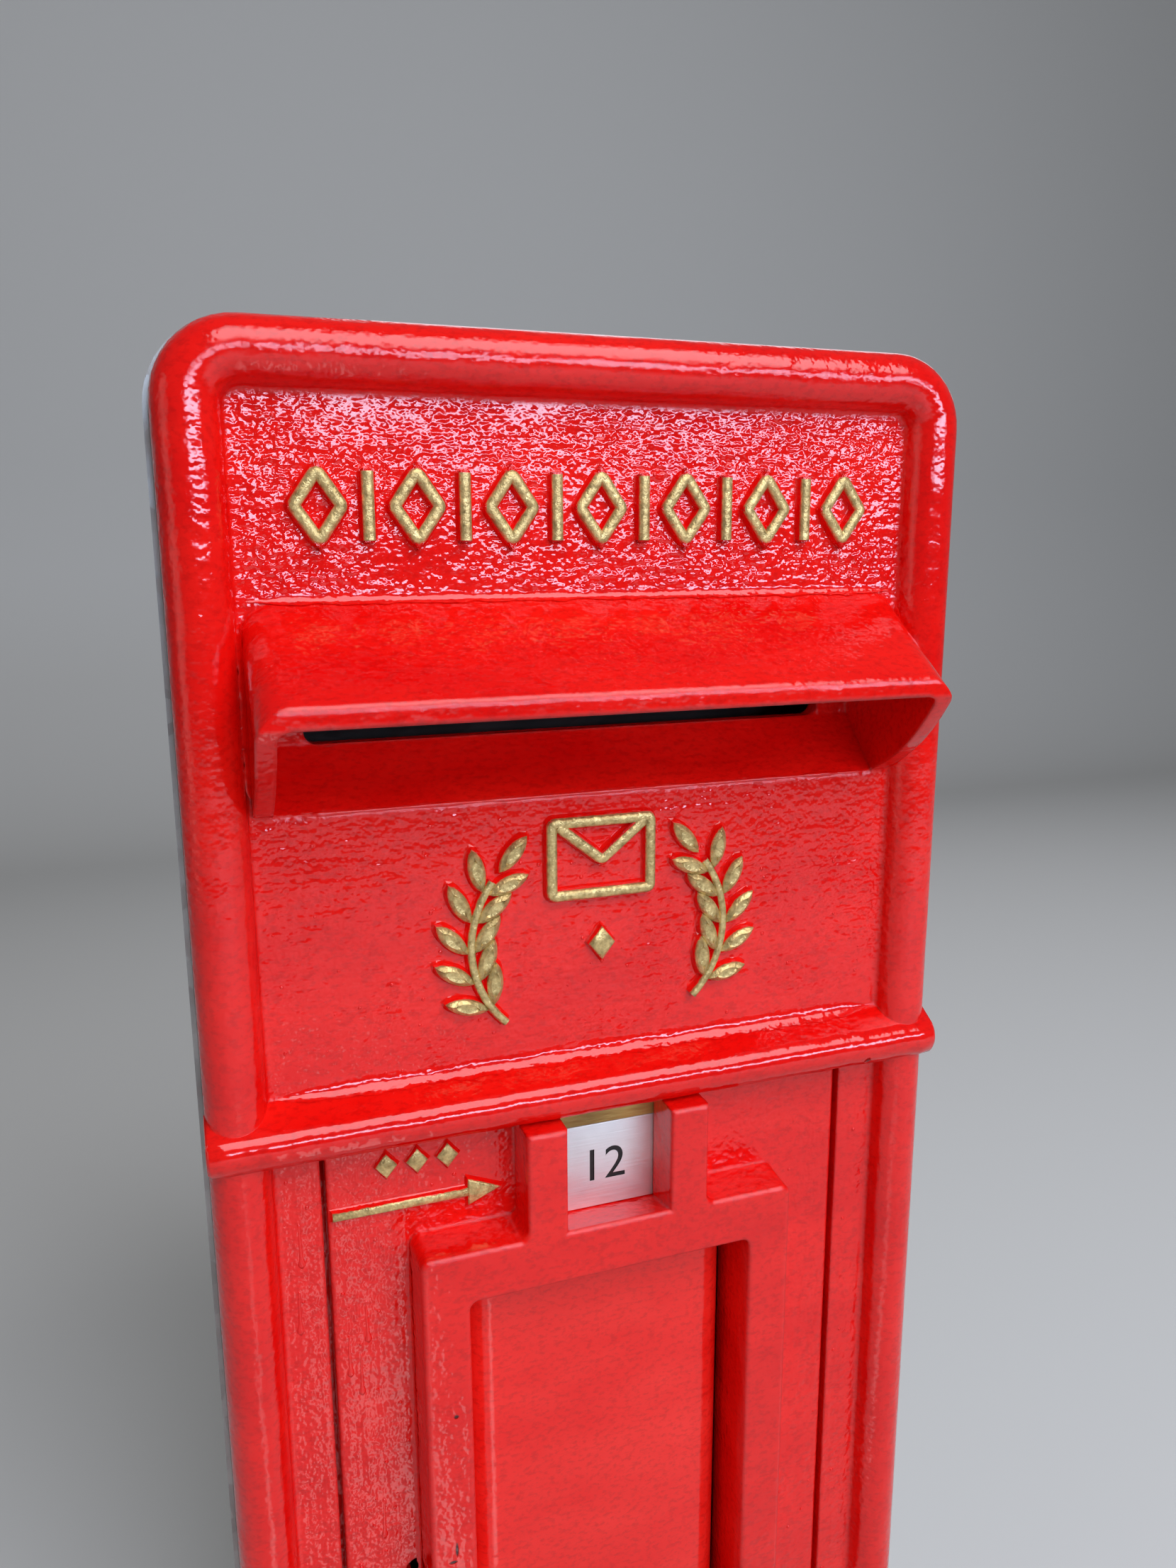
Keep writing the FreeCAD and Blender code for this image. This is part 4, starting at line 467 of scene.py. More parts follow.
def copies_tree():
    """The tree that sets copies of a template on points, turned as each point says."""
    tree, given = new_tree("copies_on_points", {
        "Points": "Geometry", "Template": "Object", "Copy Size": "Float", "Finish": "Material"})
    turn = add(tree, "GeometryNodeInputNamedAttribute", {"data_type": "FLOAT_VECTOR"}, {"Name": "turn"})
    shape = add(tree, "GeometryNodeObjectInfo", {}, {"Object": given["Template"]})
    placed = add(tree, "GeometryNodeInstanceOnPoints", {}, {
        "Points": given["Points"], "Instance": shape.outputs["Geometry"],
        "Rotation": add(tree, "FunctionNodeEulerToRotation", {}, [turn]), "Scale": given["Copy Size"]})
    return end_tree(tree, placed, given["Finish"])


def pimple_tree():
    """The tree that scatters small round casting pimples over a guide surface."""
    tree, given = new_tree("casting_pimples", {
        "Guide": "Geometry", "Density": "Float", "Smallest": "Float", "Largest": "Float",
        "Seed": "Int", "Finish": "Material"})
    spots = add(tree, "GeometryNodeDistributePointsOnFaces", {}, {
        "Mesh": given["Guide"], "Density": given["Density"], "Seed": given["Seed"]})
    ball = add(tree, "GeometryNodeMeshUVSphere", {}, {"Segments": 10, "Rings": 6, "Radius": 1.0})
    size = add(tree, "FunctionNodeRandomValue", {"data_type": "FLOAT"}, {
        2: given["Smallest"], 3: given["Largest"], "Seed": given["Seed"]})
    flat = add(tree, "ShaderNodeCombineXYZ", {}, [1.0, 0.45, 1.0])
    scaled = add(tree, "ShaderNodeVectorMath", {"operation": "SCALE"}, {0: flat, "Scale": size})
    placed = add(tree, "GeometryNodeInstanceOnPoints", {}, {
        "Points": spots, "Instance": ball, "Scale": scaled})
    return end_tree(tree, placed, given["Finish"])


def run_tree(name, source, tree, settings, *helpers):
    """Runs a tree on an object with its named inputs, and keeps the plain result."""
    modifier = source.modifiers.new("nodes", "NODES")
    modifier.node_group = tree
    for item in tree.interface.items_tree:
        if item.item_type == "SOCKET" and item.in_out == "INPUT" and item.name in settings:
            modifier[item.identifier] = settings[item.name]
    return applied(name, source, *helpers)


def set_copies(name, template, places, material):
    """Copies of a template at places, each a point and its three turns."""
    data = bpy.data.meshes.new(f"{name}_points")
    data.from_pydata([place for place, _ in places], [], [])
    turns = data.attributes.new("turn", "FLOAT_VECTOR", "POINT")
    for index, (_, turn) in enumerate(places):
        turns.data[index].vector = turn
    tree = bpy.data.node_groups.get("copies_on_points") or copies_tree()
    settings = {"Template": template, "Copy Size": 1.0, "Finish": material}
    return run_tree(name, mesh_object(f"{name}_points", data), tree, settings, template)


# ------------------------------------------------------------ the ornament

def build_band(work, crown):
    """Open lozenges with bars between, on the fascia."""
    half_gap, half_width, half_height = 14.1, 8.5, 12.4
    slope = HALF_STROKE * math.hypot(half_width, half_height)
    across, along = half_width - slope / half_height, half_height - slope / half_width
    middle = drop(BAND_DROP + half_height)
    for step in range(-6, 7):
        x = step * half_gap * MM
        if step % 2:
            reach = (half_height - 2.2 - HALF_STROKE * 0.4) * MM
            path = [Vector((x, middle - reach)), Vector((x, middle + reach))]
            ridge(work, path, False, HALF_STROKE * MM, crown)
            continue
        corners = [(x - across * MM, middle), (x, middle - along * MM),
                   (x + across * MM, middle), (x, middle + along * MM)]
        ridge(work, rounded_path(corners, 1.2 * MM, True), True, HALF_STROKE * MM, crown)


def build_envelope(work, crown):
    """The envelope with its flap, and the small lozenge below it."""
    high, half, tall, stroke = drop(PANEL_DROP + 7.2), 18.5 * MM, 27.0 * MM, HALF_STROKE * MM
    left, right, low, top = -half + stroke, half - stroke, high - tall + stroke, high - stroke
    corners = [(left, low), (right, low), (right, top), (left, top)]
    ridge(work, rounded_path(corners, 1.6 * MM, True), True, stroke, crown)
    point, start = high - tall * 0.62 + stroke * 1.5, high - 1.6 * stroke
    flap = [(-half + 2.4 * stroke, start), (0, point), (half - 2.4 * stroke, start)]
    ridge(work, rounded_path(flap, 1.6 * MM, False), False, stroke, crown)
    centre, across, along = high - 42.9 * MM, 4.2, 5.3
    rings = []
    for grow, rise in ((1.5, -0.12), (0.85, 0.34), (0.55, 1.3), (0.32, 2.3), (0.05, 2.84), (-1.2, 3.2)):
        a, b, rise = (across + grow) * MM, (along + grow * 1.26) * MM, rise * MM
        rings.append([(0, centre - b, rise), (a, centre, rise), (0, centre + b, rise), (-a, centre, rise)])
    pillow(work, rings, [(0, centre, crown)])


def leaf_template(crown):
    """One pointed leaf along +Z from the origin, with a groove for its vein."""
    length, radius, steps = 13.5 * MM, 10.5 * MM, 10
    straight = math.sqrt(radius ** 2 - (length / 2) ** 2)

    def ring(grow, rise):
        """The leaf's outline, grown by a distance, at a height over the face."""
        grow *= MM
        shares = [index / steps for index in range(steps + 1)]
        stops = [-grow * 1.8 + (length + grow * 3.6) * share for share in shares]
        sides = [math.sqrt(radius ** 2 - (length * (share - 0.5)) ** 2) - straight for share in shares]
        sides = [max(0, side) + grow for side in sides]
        sides[0] = sides[-1] = 0
        right = [(side, stop, rise) for side, stop in zip(sides, stops)]
        left = [(-side, stop, rise) for side, stop in zip(sides[1:-1], stops[1:-1])]
        return right + left[::-1]

    work = bmesh.new()
    rings = [ring(grow, rise * MM) for grow, rise in (
        (1.15, -0.12), (0.66, 0.34), (0.44, 1.3), (0.26, 2.3), (0.04, 2.86))]
    rings.append(ring(-0.9, crown + 0.25 * MM))
    stops = [0.12 + 0.76 * index / (steps - 2) for index in range(steps - 1)]
    spine = [(0, length * stop, crown - 0.15 * MM) for stop in stops]
    pillow(work, rings, spine)
    bmesh.ops.translate(work, verts=work.verts, vec=(0, -FACE_Y, 0))
    return from_bmesh("leaf_template", work)


def on_sprig(turn):
    """The point of the left sprig's stem at a turn in degrees."""
    centre, turn = Vector((SPRIG_CENTRE[0] * MM, drop(SPRIG_CENTRE[1]))), math.radians(turn)
    return centre + SPRIG_RADIUS * MM * Vector((math.cos(turn), math.sin(turn)))


def sprig_places():
    """The root and heading of each leaf of both sprigs."""
    places = []
    for turn, side in [(turn, side) for turn in range(216, 136, -16) for side in (40, -40)] + [(140, 0)]:
        heading = math.radians(turn - 90 + side)
        root = on_sprig(turn) + 2.2 * MM * Vector((math.cos(heading), math.sin(heading)))
        places.append(((root.x, FACE_Y, root.y), (0, math.pi / 2 - heading, 0)))
        places.append(((-root.x, FACE_Y, root.y), (0, heading - math.pi / 2, 0)))
    return places


def build_stems(work, crown):
    """The bent stems of both sprigs."""
    points = [on_sprig(143 + 83 * step / 14) for step in range(15)]
    for flip in (1, -1):
        path = [Vector((point.x * flip, point.y)) for point in points]
        ridge(work, path, False, 1.0 * MM, crown - 0.2 * MM)


def build_mark(work):
    """The arrow on the door that points at the tablet, and its three pips."""
    left, neck, tip = (x * MM for x in (MARK_LEFT, MARK_LEFT + 44, MARK_LEFT + 55))
    middle = drop(DOOR_DROP + 26.2)
    low, high = middle - 1.3 * MM, middle + 1.3 * MM
    outlines = [[(left, low), (neck, low), (neck, high), (left, high)],
                [(neck, middle - 4.6 * MM), (tip, middle), (neck, middle + 4.6 * MM)]]
    half, tall, z = HALF_PIP * MM, HALF_PIP * 1.2 * MM, drop(DOOR_DROP + 11.6)
    for step in (-1, 0, 1):
        x = left + (27.5 + 10 * step) * MM
        outlines.append([(x - half, z), (x, z - tall), (x + half, z), (x, z + tall)])
    for outline in outlines:
        levels = []
        for grow, rise in ((1.05, -0.1), (0.55, 0.3), (0.34, 0.9), (0.04, 1.64), (-0.45, 1.95)):
            level = []
            for index, corner in enumerate(outline):
                corner = Vector(corner)
                before, after = Vector(outline[index - 1]), Vector(outline[(index + 1) % len(outline)])
                inward = (corner - before).normalized()
                along = (inward + (after - corner).normalized()).normalized()
                point = corner + Vector((along.y, -along.x)) / max(0.35, along.dot(inward)) * grow * MM
                level.append(over_face(work, point.x, point.y, rise * MM))
            levels.append(level)
        join_rings(work, levels)


# --------------------------------------------------------------- the paint

def wobble(seed, places, low, high):
    """A slow random value between low and high for each place along a line in metres."""
    dice = random.Random(seed)
    waves = [(dice.uniform(0.004, 0.03), dice.uniform(0, 6.28), dice.uniform(0.4, 1)) for _ in range(7)]
    total = sum(share for _, _, share in waves)
    found = []
    for place in places:
        value = sum(share * math.sin(place * 6.28 / length + start) for length, start, share in waves) / total
        found.append(low + (high - low) * (0.5 + 0.5 * max(-1, min(1, value * 1.9))))
    return found


def stops_along(start, end, step):
    """How many steps a line has, and how far along it each stop lies."""
    length = (end - start).length
    count = max(8, int(length / (step * MM)))
    return count, [length * n / count for n in range(count + 1)]


def pooled_paint(work, start, end, first, second, low, high, seed):
    """Paint pooled in an inner corner along a line, its two legs along first and second."""
    start, end = Vector(start) * MM, Vector(end) * MM
    first, second = Vector(first).normalized(), Vector(second).normalized()
    count, stops = stops_along(start, end, 1.2)
    legs = wobble(seed, stops, low * MM, high * MM)
    others = wobble(seed + 1, stops, low * MM, high * MM)
    rings, shares = [], [step / 6 for step in range(7)]
    for n, (leg, other) in enumerate(zip(legs, others)):
        fade = min(1, 16 * (min(n, count - n) + 0.6) / count)
        origin = start.lerp(end, n / count)
        a, b = origin + first * leg * fade, origin + second * other * fade
        hollow = origin + (first + second) * 0.12 * MM
        ring = [(1 - t) ** 2 * a + 2 * t * (1 - t) * hollow + t * t * b for t in shares]
        rings.append(ring + [origin - (first + second) * 0.35 * MM])
    loft(work, rings)


def edge_paint(work, start, end, radius, seed):
    """The thick rounded line that brushed paint leaves along an outer edge."""
    start, end = Vector(start) * MM, Vector(end) * MM
    along = (end - start).normalized()
    across = along.cross(Vector((0, 0, 1)))
    up = along.cross(across)
    count, stops = stops_along(start, end, 1.0)
    rings = []
    for n, size in enumerate(wobble(seed, stops, radius * 0.55 * MM, radius * 1.15 * MM)):
        size *= min(1, 0.25 + 12 * min(n, count - n) / count)
        origin = start.lerp(end, n / count)
        rings.append([origin + size * (math.cos(a) * across + math.sin(a) * up)
                      for a in (2 * math.pi * k / 9 for k in range(9))])
    loft(work, rings)


def build_hood_paint(work):
    """Pooled paint above the hood and beside its cheeks, and thick edges of the lip and the cill."""
    pooled_paint(work, (-105.5, -165, 213.8), (105.5, -165, 213.8), (0, 0, 1), (0, -35.5, -26), 1.3, 2.5, 11)
    for side in (-1, 1):
        pooled_paint(work, (side * 107.4, -167.2, 158), (side * 107.4, -167.2, 208),
                     (side, 0, 0), (0, -1, 0), 1.1, 2.4, 21 + side)
    edge_paint(work, (-98, -199.4, 186.7), (98, -199.4, 186.7), 0.9, 31)
    edge_paint(work, (-100.5, -164.6, 151.3), (100.5, -164.6, 151.3), 0.8, 41)


def build_ledge_paint(work):
    """Pooled paint in the corner above the ledge."""
    pooled_paint(work, (-105.8, -165, 62.9), (105.8, -165, 62.9), (0, 0, 1), (0, -8.3, -5), 2.6, 4.3, 51)


def build_frame_paint(work):
    """Pooled paint where the frame stands on the door."""
    for side in (-1, 1):
        pooled_paint(work, (side * 67, -165, 6), (side * 67, -165, -225),
                     (side, 0, 0), (0, -1, 0), 1.0, 2.3, 71 + side)
    pooled_paint(work, (-65, -165, -227.9), (65, -165, -227.9), (0, 0, -1), (0, -1, 0), 1.0, 2.2, 81)


def build_ledge_nose(work):
    """The ledge's slope and its rounded nose, a little uneven as cast, with round ends."""
    count, half = 134, 127.3
    stops = [n * 1.9 * MM for n in range(count + 1)]
    fronts = wobble(91, stops, -0.14 * MM, 0.14 * MM)
    tops = wobble(93, stops, -0.10 * MM, 0.10 * MM)
    # The section in Y and Z: slope, nose and underside
    line = [(-165.0, 62.75), (-168.0, 60.85), (-171.0, 59.0), (-173.3, 57.75)]
    line += [(-169.9 - 7.6 * math.cos(math.radians(a)), 51.1 + 7.6 * math.sin(math.radians(a)))
             for a in range(47, -50, -8)]
    line += [(-172.0, 45.75), (-165.0, 45.9), (-163.5, 46.3), (-163.5, 62.0)]
    # The three outer sections of each end: place in X, and share by which they shrink
    ends = ((127.5, 0.35), (127.2, 0.12), (126.2, 0.03))
    rings = []
    for n, (front, top) in enumerate(zip(fronts, tops)):
        x, shrink, inset = (-half + 2 * half * n / count) * MM, 0.0, min(n, count - n)
        if inset < len(ends):
            x, shrink = math.copysign(ends[inset][0] * MM, x), ends[inset][1]
        ring = []
        for y, z in line:
            push = max(0.0, min(1.0, (-y - 166) / 8))
            y, z = y * MM - front * push, z * MM + top * push
            ring.append(Vector((x, y + (-169 * MM - y) * shrink, z + (54 * MM - z) * shrink)))
        rings.append(ring)
    loft(work, rings)


def run_template():
    """One run of paint down -Z from the origin, thin above and with a drop at its foot."""
    length, last, rings = 16 * MM, 14, []
    for step in range(last + 1):
        t = step / last
        bead = 0.55 * math.exp(-((t - 0.9) / 0.075) ** 2)
        wide = (0.25 + 0.45 * t + bead) * MM * (1 if step < last else 0.25)
        rings.append([Vector((wide * math.cos(a), -wide * 0.26 * math.sin(a), -length * t))
                      for a in (2 * math.pi * k / 10 for k in range(10))])
    work = bmesh.new()
    loft(work, rings)
    return from_bmesh("run_template", work)


def run_places(seed, areas, share):
    """Where paint has run: random points in the areas, so many on a square millimetre."""
    dice, places = random.Random(seed), []
    for left, right, high, low in areas:
        for _ in range(max(1, round((right - left) * (low - high) * share))):
            x, down = dice.uniform(left, right), dice.uniform(high, low - 17)
            places.append(((x * MM, FACE_Y, drop(down)), (0, dice.uniform(-0.03, 0.03), 0)))
    return places


def guide_sheet(name, areas):
    """Flat patches on the face plane for the areas."""
    work = bmesh.new()
    for left, right, high, low in areas:
        corners = ((left, low), (right, low), (right, high), (left, high))
        work.faces.new([work.verts.new((x * MM, FACE_Y, drop(down))) for x, down in corners])
    data = bpy.data.meshes.new(name)
    work.to_mesh(data)
    work.free()
    return mesh_object(name, data)


# ------------------------------------------------------------ the fittings

def solids_of(node):
    """The lowest and highest corner of each separate solid of a node."""
    work = bmesh.new()
    work.from_mesh(NODES[node].data)
    bmesh.ops.remove_doubles(work, verts=work.verts, dist=1e-6)
    found, seen = [], set()
    for start in work.verts:
        if start.index in seen:
            continue
        group, front = [], [start]
        seen.add(start.index)
        while front:
            vert = front.pop()
            group.append(vert.co.copy())
            for edge in vert.link_edges:
                other = edge.other_vert(vert)
                if other.index not in seen:
                    seen.add(other.index)
                    front.append(other)
        found.append(tuple(Vector(end(c[axis] for c in group) for axis in range(3)) for end in (min, max)))
    work.free()
    return found


def turned(name, profile, sides=28):
    """A shape turned about the Y axis from (radius, y) points."""
    work = bmesh.new()
    rings = []
    for radius, y in profile:
        angles = [2 * math.pi * n / sides for n in range(sides)] if radius else [0.0]
        rings.append([work.verts.new((radius * math.cos(a), y, radius * math.sin(a))) for a in angles])
    for first, second in zip(rings, rings[1:]):
        for n in range(sides):
            m = (n + 1) % sides
            corners = [ring[k % len(ring)] for ring, k in ((first, n), (first, m), (second, m), (second, n))]
            corners = [c for k, c in enumerate(corners) if c not in corners[:k]]
            if len(corners) > 2:
                work.faces.new(corners)
    return from_bmesh(name, work)


def combined(target, operation, other):
    """The target after a cut or a common part with another shape, which goes."""
    modifier = target.modifiers.new("combined", "BOOLEAN")
    modifier.object, modifier.operation, modifier.solver = other, operation, "EXACT"
    return applied(target.name, target, other)


def block(name, low, high):
    """A plain blank between two corners, for cutting or for more work."""
    work = bmesh.new()
    bmesh.ops.create_cube(work, size=1.0)
    centre, span = (Vector(low) + Vector(high)) / 2, Vector(high) - Vector(low)
    for vert in work.verts:
        vert.co = centre + Vector(a * b for a, b in zip(vert.co, span))
    return from_bmesh(name, work)


def dome(radius, height):
    """The profile of a domed head from its middle at y = 0 to its rim."""
    turns = [math.pi / 2 * step / 5 for step in range(1, 6)]
    return [(0, 0)] + [(radius * math.sin(turn), -height * (1 - math.cos(turn))) for turn in turns]


def screw_template(head_radius, head_height, shank_radius, length):
    """A round-headed screw from the origin along -Y, its slot across the head."""
    profile = dome(head_radius, head_height * 0.72)
    profile += [(head_radius, -head_height), (shank_radius, -head_height),
                (shank_radius, -length + 0.5 * MM), (shank_radius * 0.7, -length), (0, -length)]
    reach, half_slot = head_radius * 1.1, 0.45 * MM
    slot = block("slot", (-reach, -head_height * 0.5, -half_slot), (reach, 1 * MM, half_slot))
    return combined(turned("screw_template", profile), "DIFFERENCE", slot)


def hexagon_template(span, head_height, shank_radius, length):
    """A hexagon bolt from the origin along -Y, with a chamfered head."""
    profile = [(0, 0), (span * 0.86, 0), (span * 1.04, -head_height * 0.28), (span * 1.04, -head_height),
               (0, -head_height)]
    cone = turned("hexagon_template", profile, 48)
    work = bmesh.new()
    bmesh.ops.create_cone(work, cap_ends=True, segments=6, radius1=span, radius2=span, depth=head_height * 3)
    bmesh.ops.rotate(work, verts=work.verts, matrix=Matrix.Rotation(math.pi / 2, 3, "X"))
    head = combined(cone, "INTERSECT", from_bmesh("prism", work))
    start = -head_height + 0.2 * MM
    shank = turned("shank", [(0, start), (shank_radius, start), (shank_radius, -length + 0.8 * MM),
                             (shank_radius * 0.7, -length), (0, -length)])
    work = bmesh.new()
    for item in (head, shank):
        work.from_mesh(item.data)
        bpy.data.objects.remove(item)
    return from_bmesh("hexagon_template", work, merge=False)


def build_screws(name, material, radius=3.3 * MM, height=2.4 * MM, shank=1.98 * MM):
    """Slotted screws in the places of a node's solids, each turned its own way."""
    solids = solids_of(name)
    template = screw_template(radius, height, shank, solids[0][1].y - solids[0][0].y)
    places = [(((low.x + high.x) / 2, high.y, (low.z + high.z) / 2), (0, 0.6 + 1.9 * index, 0))
              for index, (low, high) in enumerate(solids)]
    screws = set_copies(f"{name}_slotted", template, places, material)
    body = "box" if name in ("keep_screws", "baffle_screws") else "door"
    finish_piece(screws, body, None, (name,), 35)


def build_rivets(material):
    """Rivets with a domed head on both ends, through the sleeve's sides."""
    solids = solids_of("back_rivets")
    low, high = solids[0]
    length, radius, shank, head = high.x - low.x, (high.z - low.z) / 2, 2.4 * MM, 1.2 * MM
    profile = dome(radius, head * 0.92) + [(radius, -head)]
    other_end = [(across, -length - y) for across, y in reversed(profile)]
    profile += [(shank, -head), (shank, -length + head), *other_end]
    places = []
    for low, high in solids:
        middle = (low + high) / 2
        x, turn = (high.x, -math.pi / 2) if low.x > 0 else (low.x, math.pi / 2)
        places.append(((x, middle.y, middle.z), (0, 0, turn)))
    rivets = set_copies("back_rivets_domed", turned("rivet_template", profile), places, material)
    finish_piece(rivets, "box", None, ("back_rivets",), 35)


def build_bolts(material):
    """Hexagon bolts in the corner brackets."""
    solids = solids_of("body_bolts")
    low, high = solids[0]
    template = hexagon_template((high.x - low.x) / 2, 4.0 * MM, 2.98 * MM, high.y - low.y)
    places = [(((low.x + high.x) / 2, high.y, (low.z + high.z) / 2), (0, 0, 0)) for low, high in solids]
    bolts = set_copies("body_bolts_hexagon", template, places, material)
    finish_piece(bolts, "box", None, ("body_bolts",), 30)


def build_tablet(numeral):
    """The aluminium tablet with soft edges and its engraved number."""
    low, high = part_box("day_tablet")
    plate = block("tablet_blank", low, high)
    bevel = plate.modifiers.new("edges", "BEVEL")
    bevel.width, bevel.segments = 0.35 * MM, 3
    text = bpy.data.curves.new("numeral", "FONT")
    text.body, text.size, text.extrude = numeral, 17 * MM, 0.4 * MM
    text.align_x, text.align_y = "CENTER", "CENTER"
    figure = applied("numeral", mesh_object("numeral", text))
    place = Matrix.Translation(((low.x + high.x) / 2, low.y, (low.z + high.z) / 2 - 0.5 * MM))
    figure.data.transform(place @ Matrix.Rotation(math.pi / 2, 4, "X"))
    work = bmesh.new()
    work.from_mesh(figure.data)
    bmesh.ops.remove_doubles(work, verts=work.verts, dist=1e-6)
    bmesh.ops.recalc_face_normals(work, faces=work.faces)
    work.to_mesh(figure.data)
    work.free()
    cut = plate.modifiers.new("engraving", "BOOLEAN")
    cut.object, cut.solver = figure, "EXACT"
    tablet = applied("day_tablet_engraved", plate, figure)
    tablet.data.materials.clear()
    for name in ("brushed_aluminium", "engraving_paint"):
        tablet.data.materials.append(bpy.data.materials[name])
    for face in tablet.data.polygons:
        sunk = low.y + 0.02 * MM < face.center.y < low.y + 0.6 * MM
        inside = all(low[a] + 1 * MM < face.center[a] < high[a] - 1 * MM for a in (0, 2))
        face.material_index = 1 if sunk and inside else 0
    finish_piece(tablet, "door", None, ("day_tablet",), 30)


# --------------------------------------------------------------- operators

FINISHES = {
    "gloss_enamel_on_cast_iron": ("front_casting", "front_door"),
    "gloss_enamel_on_pressed_steel": ("collection_plate",),
    "turned_steel": ("upper_hinge_pin", "lower_hinge_pin"),
    "sawn_brass": ("tablet_holder", "hinge_washer", "lock_bolt"),
    "zinc_plated_steel": ("plate_clips", "lock_keep"),
    "dull_pressed_steel": ("lock_case", "lock_cap"),
    "spring_steel": ("lock_spring",),
    "galvanised_sheet": ("letter_baffle", "body_shell", "back_plate", "body_brackets"),
}


class POSTBOX_OT_castings(bpy.types.Operator):
    """Mix the finishes, and give the castings, sheet and lock theirs"""

    bl_idname = "postbox.castings"
    bl_label = "Finish castings and sheet"

    def execute(self, context):
        make_materials(context.scene.postbox_looks)
        for name, nodes in FINISHES.items():
            for node in nodes:
                slots = NODES[node].data.materials
                slots.clear()
                slots.append(bpy.data.materials[name])
        return {"FINISHED"}


class POSTBOX_OT_ornament(bpy.types.Operator):
    """Build the gilded band, envelope, sprigs and door mark"""

    bl_idname = "postbox.ornament"
    bl_label = "Build gilded ornament"

    def execute(self, context):
        looks = context.scene.postbox_looks
        gilded = bpy.data.materials["gilt_paint_on_enamel"]
        for name, build in (("fascia_band", build_band), ("panel_envelope", build_envelope),
                            ("sprig_stems", build_stems)):
            work = bmesh.new()
            build(work, looks.crown)
            finish_piece(from_bmesh(name, work), "box", gilded)
        leaves = set_copies("sprig_leaves", leaf_template(looks.crown), sprig_places(), gilded)
        finish_piece(leaves, "box", None)
        work = bmesh.new()
        build_mark(work)
        low_gilded = bpy.data.materials["gilt_paint_on_low_mark"]
        finish_piece(from_bmesh("door_mark", work), "door", low_gilded)
        return {"FINISHED"}


class POSTBOX_OT_paint(bpy.types.Operator):
    """Build pooled paint, thick edges and runs"""

    bl_idname = "postbox.paint"
    bl_label = "Build thick paint"

    def execute(self, context):
        enamel = bpy.data.materials["thick_gloss_enamel"]
        for name, body, build in (
                ("hood_paint", "box", build_hood_paint), ("ledge_paint", "box", build_ledge_paint),
                ("ledge_nose", "box", build_ledge_nose), ("frame_paint", "door", build_frame_paint)):
            work = bmesh.new()
            build(work)
            finish_piece(from_bmesh(name, work), body, enamel)
        for body, areas in RUN_AREAS.items():
            places = run_places(context.scene.postbox_looks.seed, areas, RUN_SHARE)
            runs = set_copies(f"{body}_runs", run_template(), places, enamel)
            finish_piece(runs, body, None, sharp=180)
        return {"FINISHED"}


class POSTBOX_OT_fasteners(bpy.types.Operator):
    """Build the screws, rivets and bolts"""

    bl_idname = "postbox.fasteners"
    bl_label = "Build fasteners"

    def execute(self, context):
        zinc = bpy.data.materials["zinc_plated_steel"]
        for name in ("clip_screws", "lock_screws", "keep_screws", "baffle_screws"):
            build_screws(name, zinc)
        build_screws("holder_screws", bpy.data.materials["sawn_brass"])
        build_rivets(zinc)
        build_bolts(zinc)
        return {"FINISHED"}


class POSTBOX_OT_tablet(bpy.types.Operator):
    """Build the engraved tablet"""

    bl_idname = "postbox.tablet"
    bl_label = "Build tablet"

    def execute(self, context):
        build_tablet(context.scene.postbox_looks.numeral)
        return {"FINISHED"}


class POSTBOX_OT_pimples(bpy.types.Operator):
    """Scatter small casting pimples under the enamel"""

    bl_idname = "postbox.pimples"
    bl_label = "Scatter casting pimples"

    def execute(self, context):
        looks = context.scene.postbox_looks
        settings = {"Density": looks.pimple_density, "Smallest": 0.25 * MM, "Largest": 0.75 * MM,
                    "Seed": looks.seed, "Finish": bpy.data.materials["thick_gloss_enamel"]}
        for body, areas in PIMPLE_AREAS.items():
            pimples = run_tree(f"{body}_pimples", guide_sheet("guide", areas), pimple_tree(), settings)
            finish_piece(pimples, body, None, sharp=180)
        return {"FINISHED"}


class POSTBOX_OT_stage(bpy.types.Operator):
    """Set the floor, backdrop, lights and camera"""

    bl_idname = "postbox.stage"
    bl_label = "Set the stage"

    def execute(self, context):
        build_floor()
        build_lights(context.scene)
        build_camera(context.scene)
        return {"FINISHED"}


# --------------------------------------------------------------- the stage

# Name, place, target and size in metres, radiance and tint of each lamp
LAMPS = (
    ("window", (0.70, -2.1, 0.53), (0.05, -0.165, 0.25), (1.75, 0.24), 16.5, "#D2E2FF"),
    ("skylight", (0.40, -1.50, 1.75), (0, -0.165, 0.1), (1.9, 1.4), 4.7, "#F6F8FF"),
    ("left_wall", (-2.1, -0.7, 0.3), (0, -0.15, -0.05), (0.9, 1.6), 0.7, "#FFF4EC"),
    ("back_fill", (0.9, 1.42, 1.1), (0.9, 0.0, 1.1), (1.4, 1.1), 1.1, "#F4F6FF"),
    ("table_glow", (-0.044, -0.56, CAD_BOX[0].z + 4 * MM), (-0.044, -0.56, 1.0), (0.042, 0.5), 1.6,
     "#FFF0F0"),
)
# Yaw, pitch and roll in degrees, place in millimetres, and lens of the photograph's camera
CAMERA_TURN, CAMERA_PLACE, CAMERA_LENS = (19.76, 11.78, -0.21), (-123.95, -499.2, 228.3), 26.02


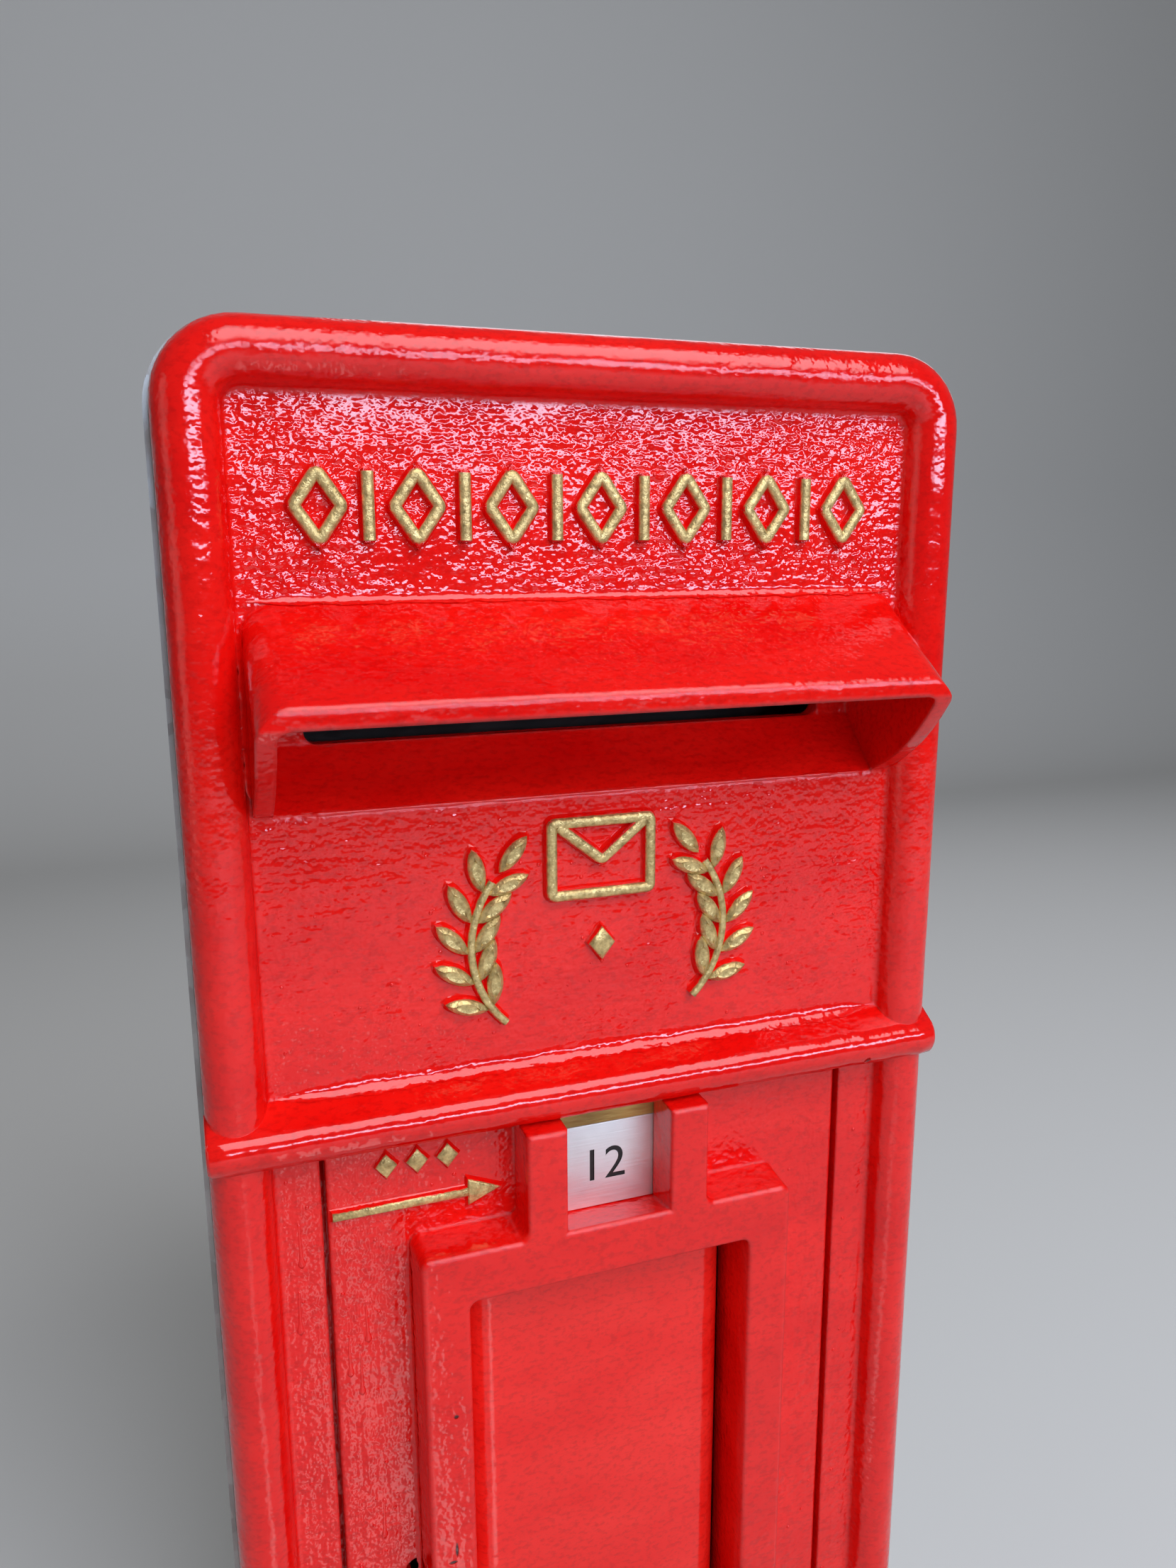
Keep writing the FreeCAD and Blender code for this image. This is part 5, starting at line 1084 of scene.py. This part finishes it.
def build_floor():
    """A pale floor that curves up into a backdrop, and throws little light back at the box."""
    material = bpy.data.materials.new("pale_backdrop_paper")
    material.use_nodes = True
    tree = material.node_tree
    tree.nodes.clear()
    rays = add(tree, "ShaderNodeLightPath").outputs
    seen = rays["Is Camera Ray"]
    for name in ("Is Glossy Ray", "Is Transmission Ray"):
        seen = add(tree, "ShaderNodeMath", {"operation": "MAXIMUM"}, [seen, rays[name]])
    colour = add(tree, "ShaderNodeMix", {"data_type": "RGBA"}, {
        0: seen, 6: linear("#A3A29E"), 7: linear("#E4E3DF")})
    add(tree, "ShaderNodeOutputMaterial", {}, [add(tree, "ShaderNodeBsdfDiffuse", {}, {"Color": colour})])
    floor_z, back_y, curve, half = CAD_BOX[0].z - 0.1 * MM, 2.2, 0.7, 5.0
    line = [(-half, floor_z), (back_y - curve, floor_z)]
    for step in range(1, 17):
        turn = math.pi / 2 * step / 16
        line.append((back_y - curve + curve * math.sin(turn), floor_z + curve * (1 - math.cos(turn))))
    line.append((back_y, half))
    work = bmesh.new()
    rows = [[work.verts.new((x, y, z)) for x in (-half, half)] for y, z in line]
    for first, second in zip(rows, rows[1:]):
        work.faces.new((first[0], first[1], second[1], second[0]))
    data = bpy.data.meshes.new("backdrop")
    work.to_mesh(data)
    work.free()
    data.materials.append(material)
    data.shade_smooth()
    mesh_object("backdrop", data)


def build_lights(scene):
    """Soft light from high in front, and weaker light from the left, the table and behind."""
    for name, place, target, size, shine, tint in LAMPS:
        data = bpy.data.lights.new(name, "AREA")
        data.shape, data.size, data.size_y = "RECTANGLE", size[0], size[1]
        data.energy = shine * math.pi * size[0] * size[1]
        data.color = linear(tint)[:3]
        lamp = bpy.data.objects.new(name, data)
        scene.collection.objects.link(lamp)
        lamp.visible_camera = False
        lamp.location, lamp.rotation_mode = place, "QUATERNION"
        lamp.rotation_quaternion = (Vector(target) - Vector(place)).to_track_quat("-Z", "Y")
    world = bpy.data.worlds.new("studio")
    scene.world = world
    world.use_nodes = True
    world.node_tree.nodes.clear()
    sky = add(world.node_tree, "ShaderNodeBackground", {}, {"Color": linear("#D8DADC"), "Strength": 0.16})
    add(world.node_tree, "ShaderNodeOutputWorld", {}, [sky])


def build_camera(scene):
    """The camera where the photograph was taken, close to the box and above its middle."""
    yaw, pitch, roll = (math.radians(a) for a in CAMERA_TURN)
    ahead = Vector((math.sin(yaw) * math.cos(pitch), math.cos(yaw) * math.cos(pitch), -math.sin(pitch)))
    right = Vector((math.cos(yaw), -math.sin(yaw), 0))
    up = right.cross(ahead)
    right, up = (math.cos(roll) * right + math.sin(roll) * up, -math.sin(roll) * right + math.cos(roll) * up)
    data = bpy.data.cameras.new("photograph")
    data.lens, data.sensor_width, data.sensor_fit = CAMERA_LENS, 36.0, "AUTO"
    data.clip_start, data.clip_end = 0.01, 50
    camera = bpy.data.objects.new("photograph", data)
    scene.collection.objects.link(camera)
    turn = Matrix((right, up, -ahead)).transposed()
    camera.matrix_world = Matrix.Translation(Vector(CAMERA_PLACE) * MM) @ turn.to_4x4()
    scene.camera = camera
    scene.view_settings.view_transform = "Standard"


class POSTBOX_PT_panel(bpy.types.Panel):
    """The post box's steps and looks"""

    bl_idname = "POSTBOX_PT_panel"
    bl_label = "Post Box"
    bl_space_type = "VIEW_3D"
    bl_region_type = "UI"
    bl_category = "Post Box"

    def draw(self, context):
        looks = context.scene.postbox_looks
        for name in PostBoxLooks.__annotations__:
            self.layout.prop(looks, name)
        for step in STEPS:
            self.layout.operator(step.bl_idname)


STEPS = (POSTBOX_OT_castings, POSTBOX_OT_ornament, POSTBOX_OT_paint, POSTBOX_OT_fasteners,
         POSTBOX_OT_tablet, POSTBOX_OT_pimples, POSTBOX_OT_stage)
CLASSES = (PostBoxLooks, *STEPS, POSTBOX_PT_panel)


def register():
    """Makes the looks, steps and panel known."""
    for item in CLASSES:
        bpy.utils.register_class(item)
    bpy.types.Scene.postbox_looks = bpy.props.PointerProperty(type=PostBoxLooks)


def unregister():
    """Takes them away again."""
    del bpy.types.Scene.postbox_looks
    for item in reversed(CLASSES):
        bpy.utils.unregister_class(item)


def main():
    """Runs every step in order."""
    register()
    bpy.ops.postbox.castings()
    bpy.ops.postbox.ornament()
    bpy.ops.postbox.paint()
    bpy.ops.postbox.fasteners()
    bpy.ops.postbox.tablet()
    bpy.ops.postbox.pimples()
    bpy.ops.postbox.stage()


if __name__ == "__main__":
    main()
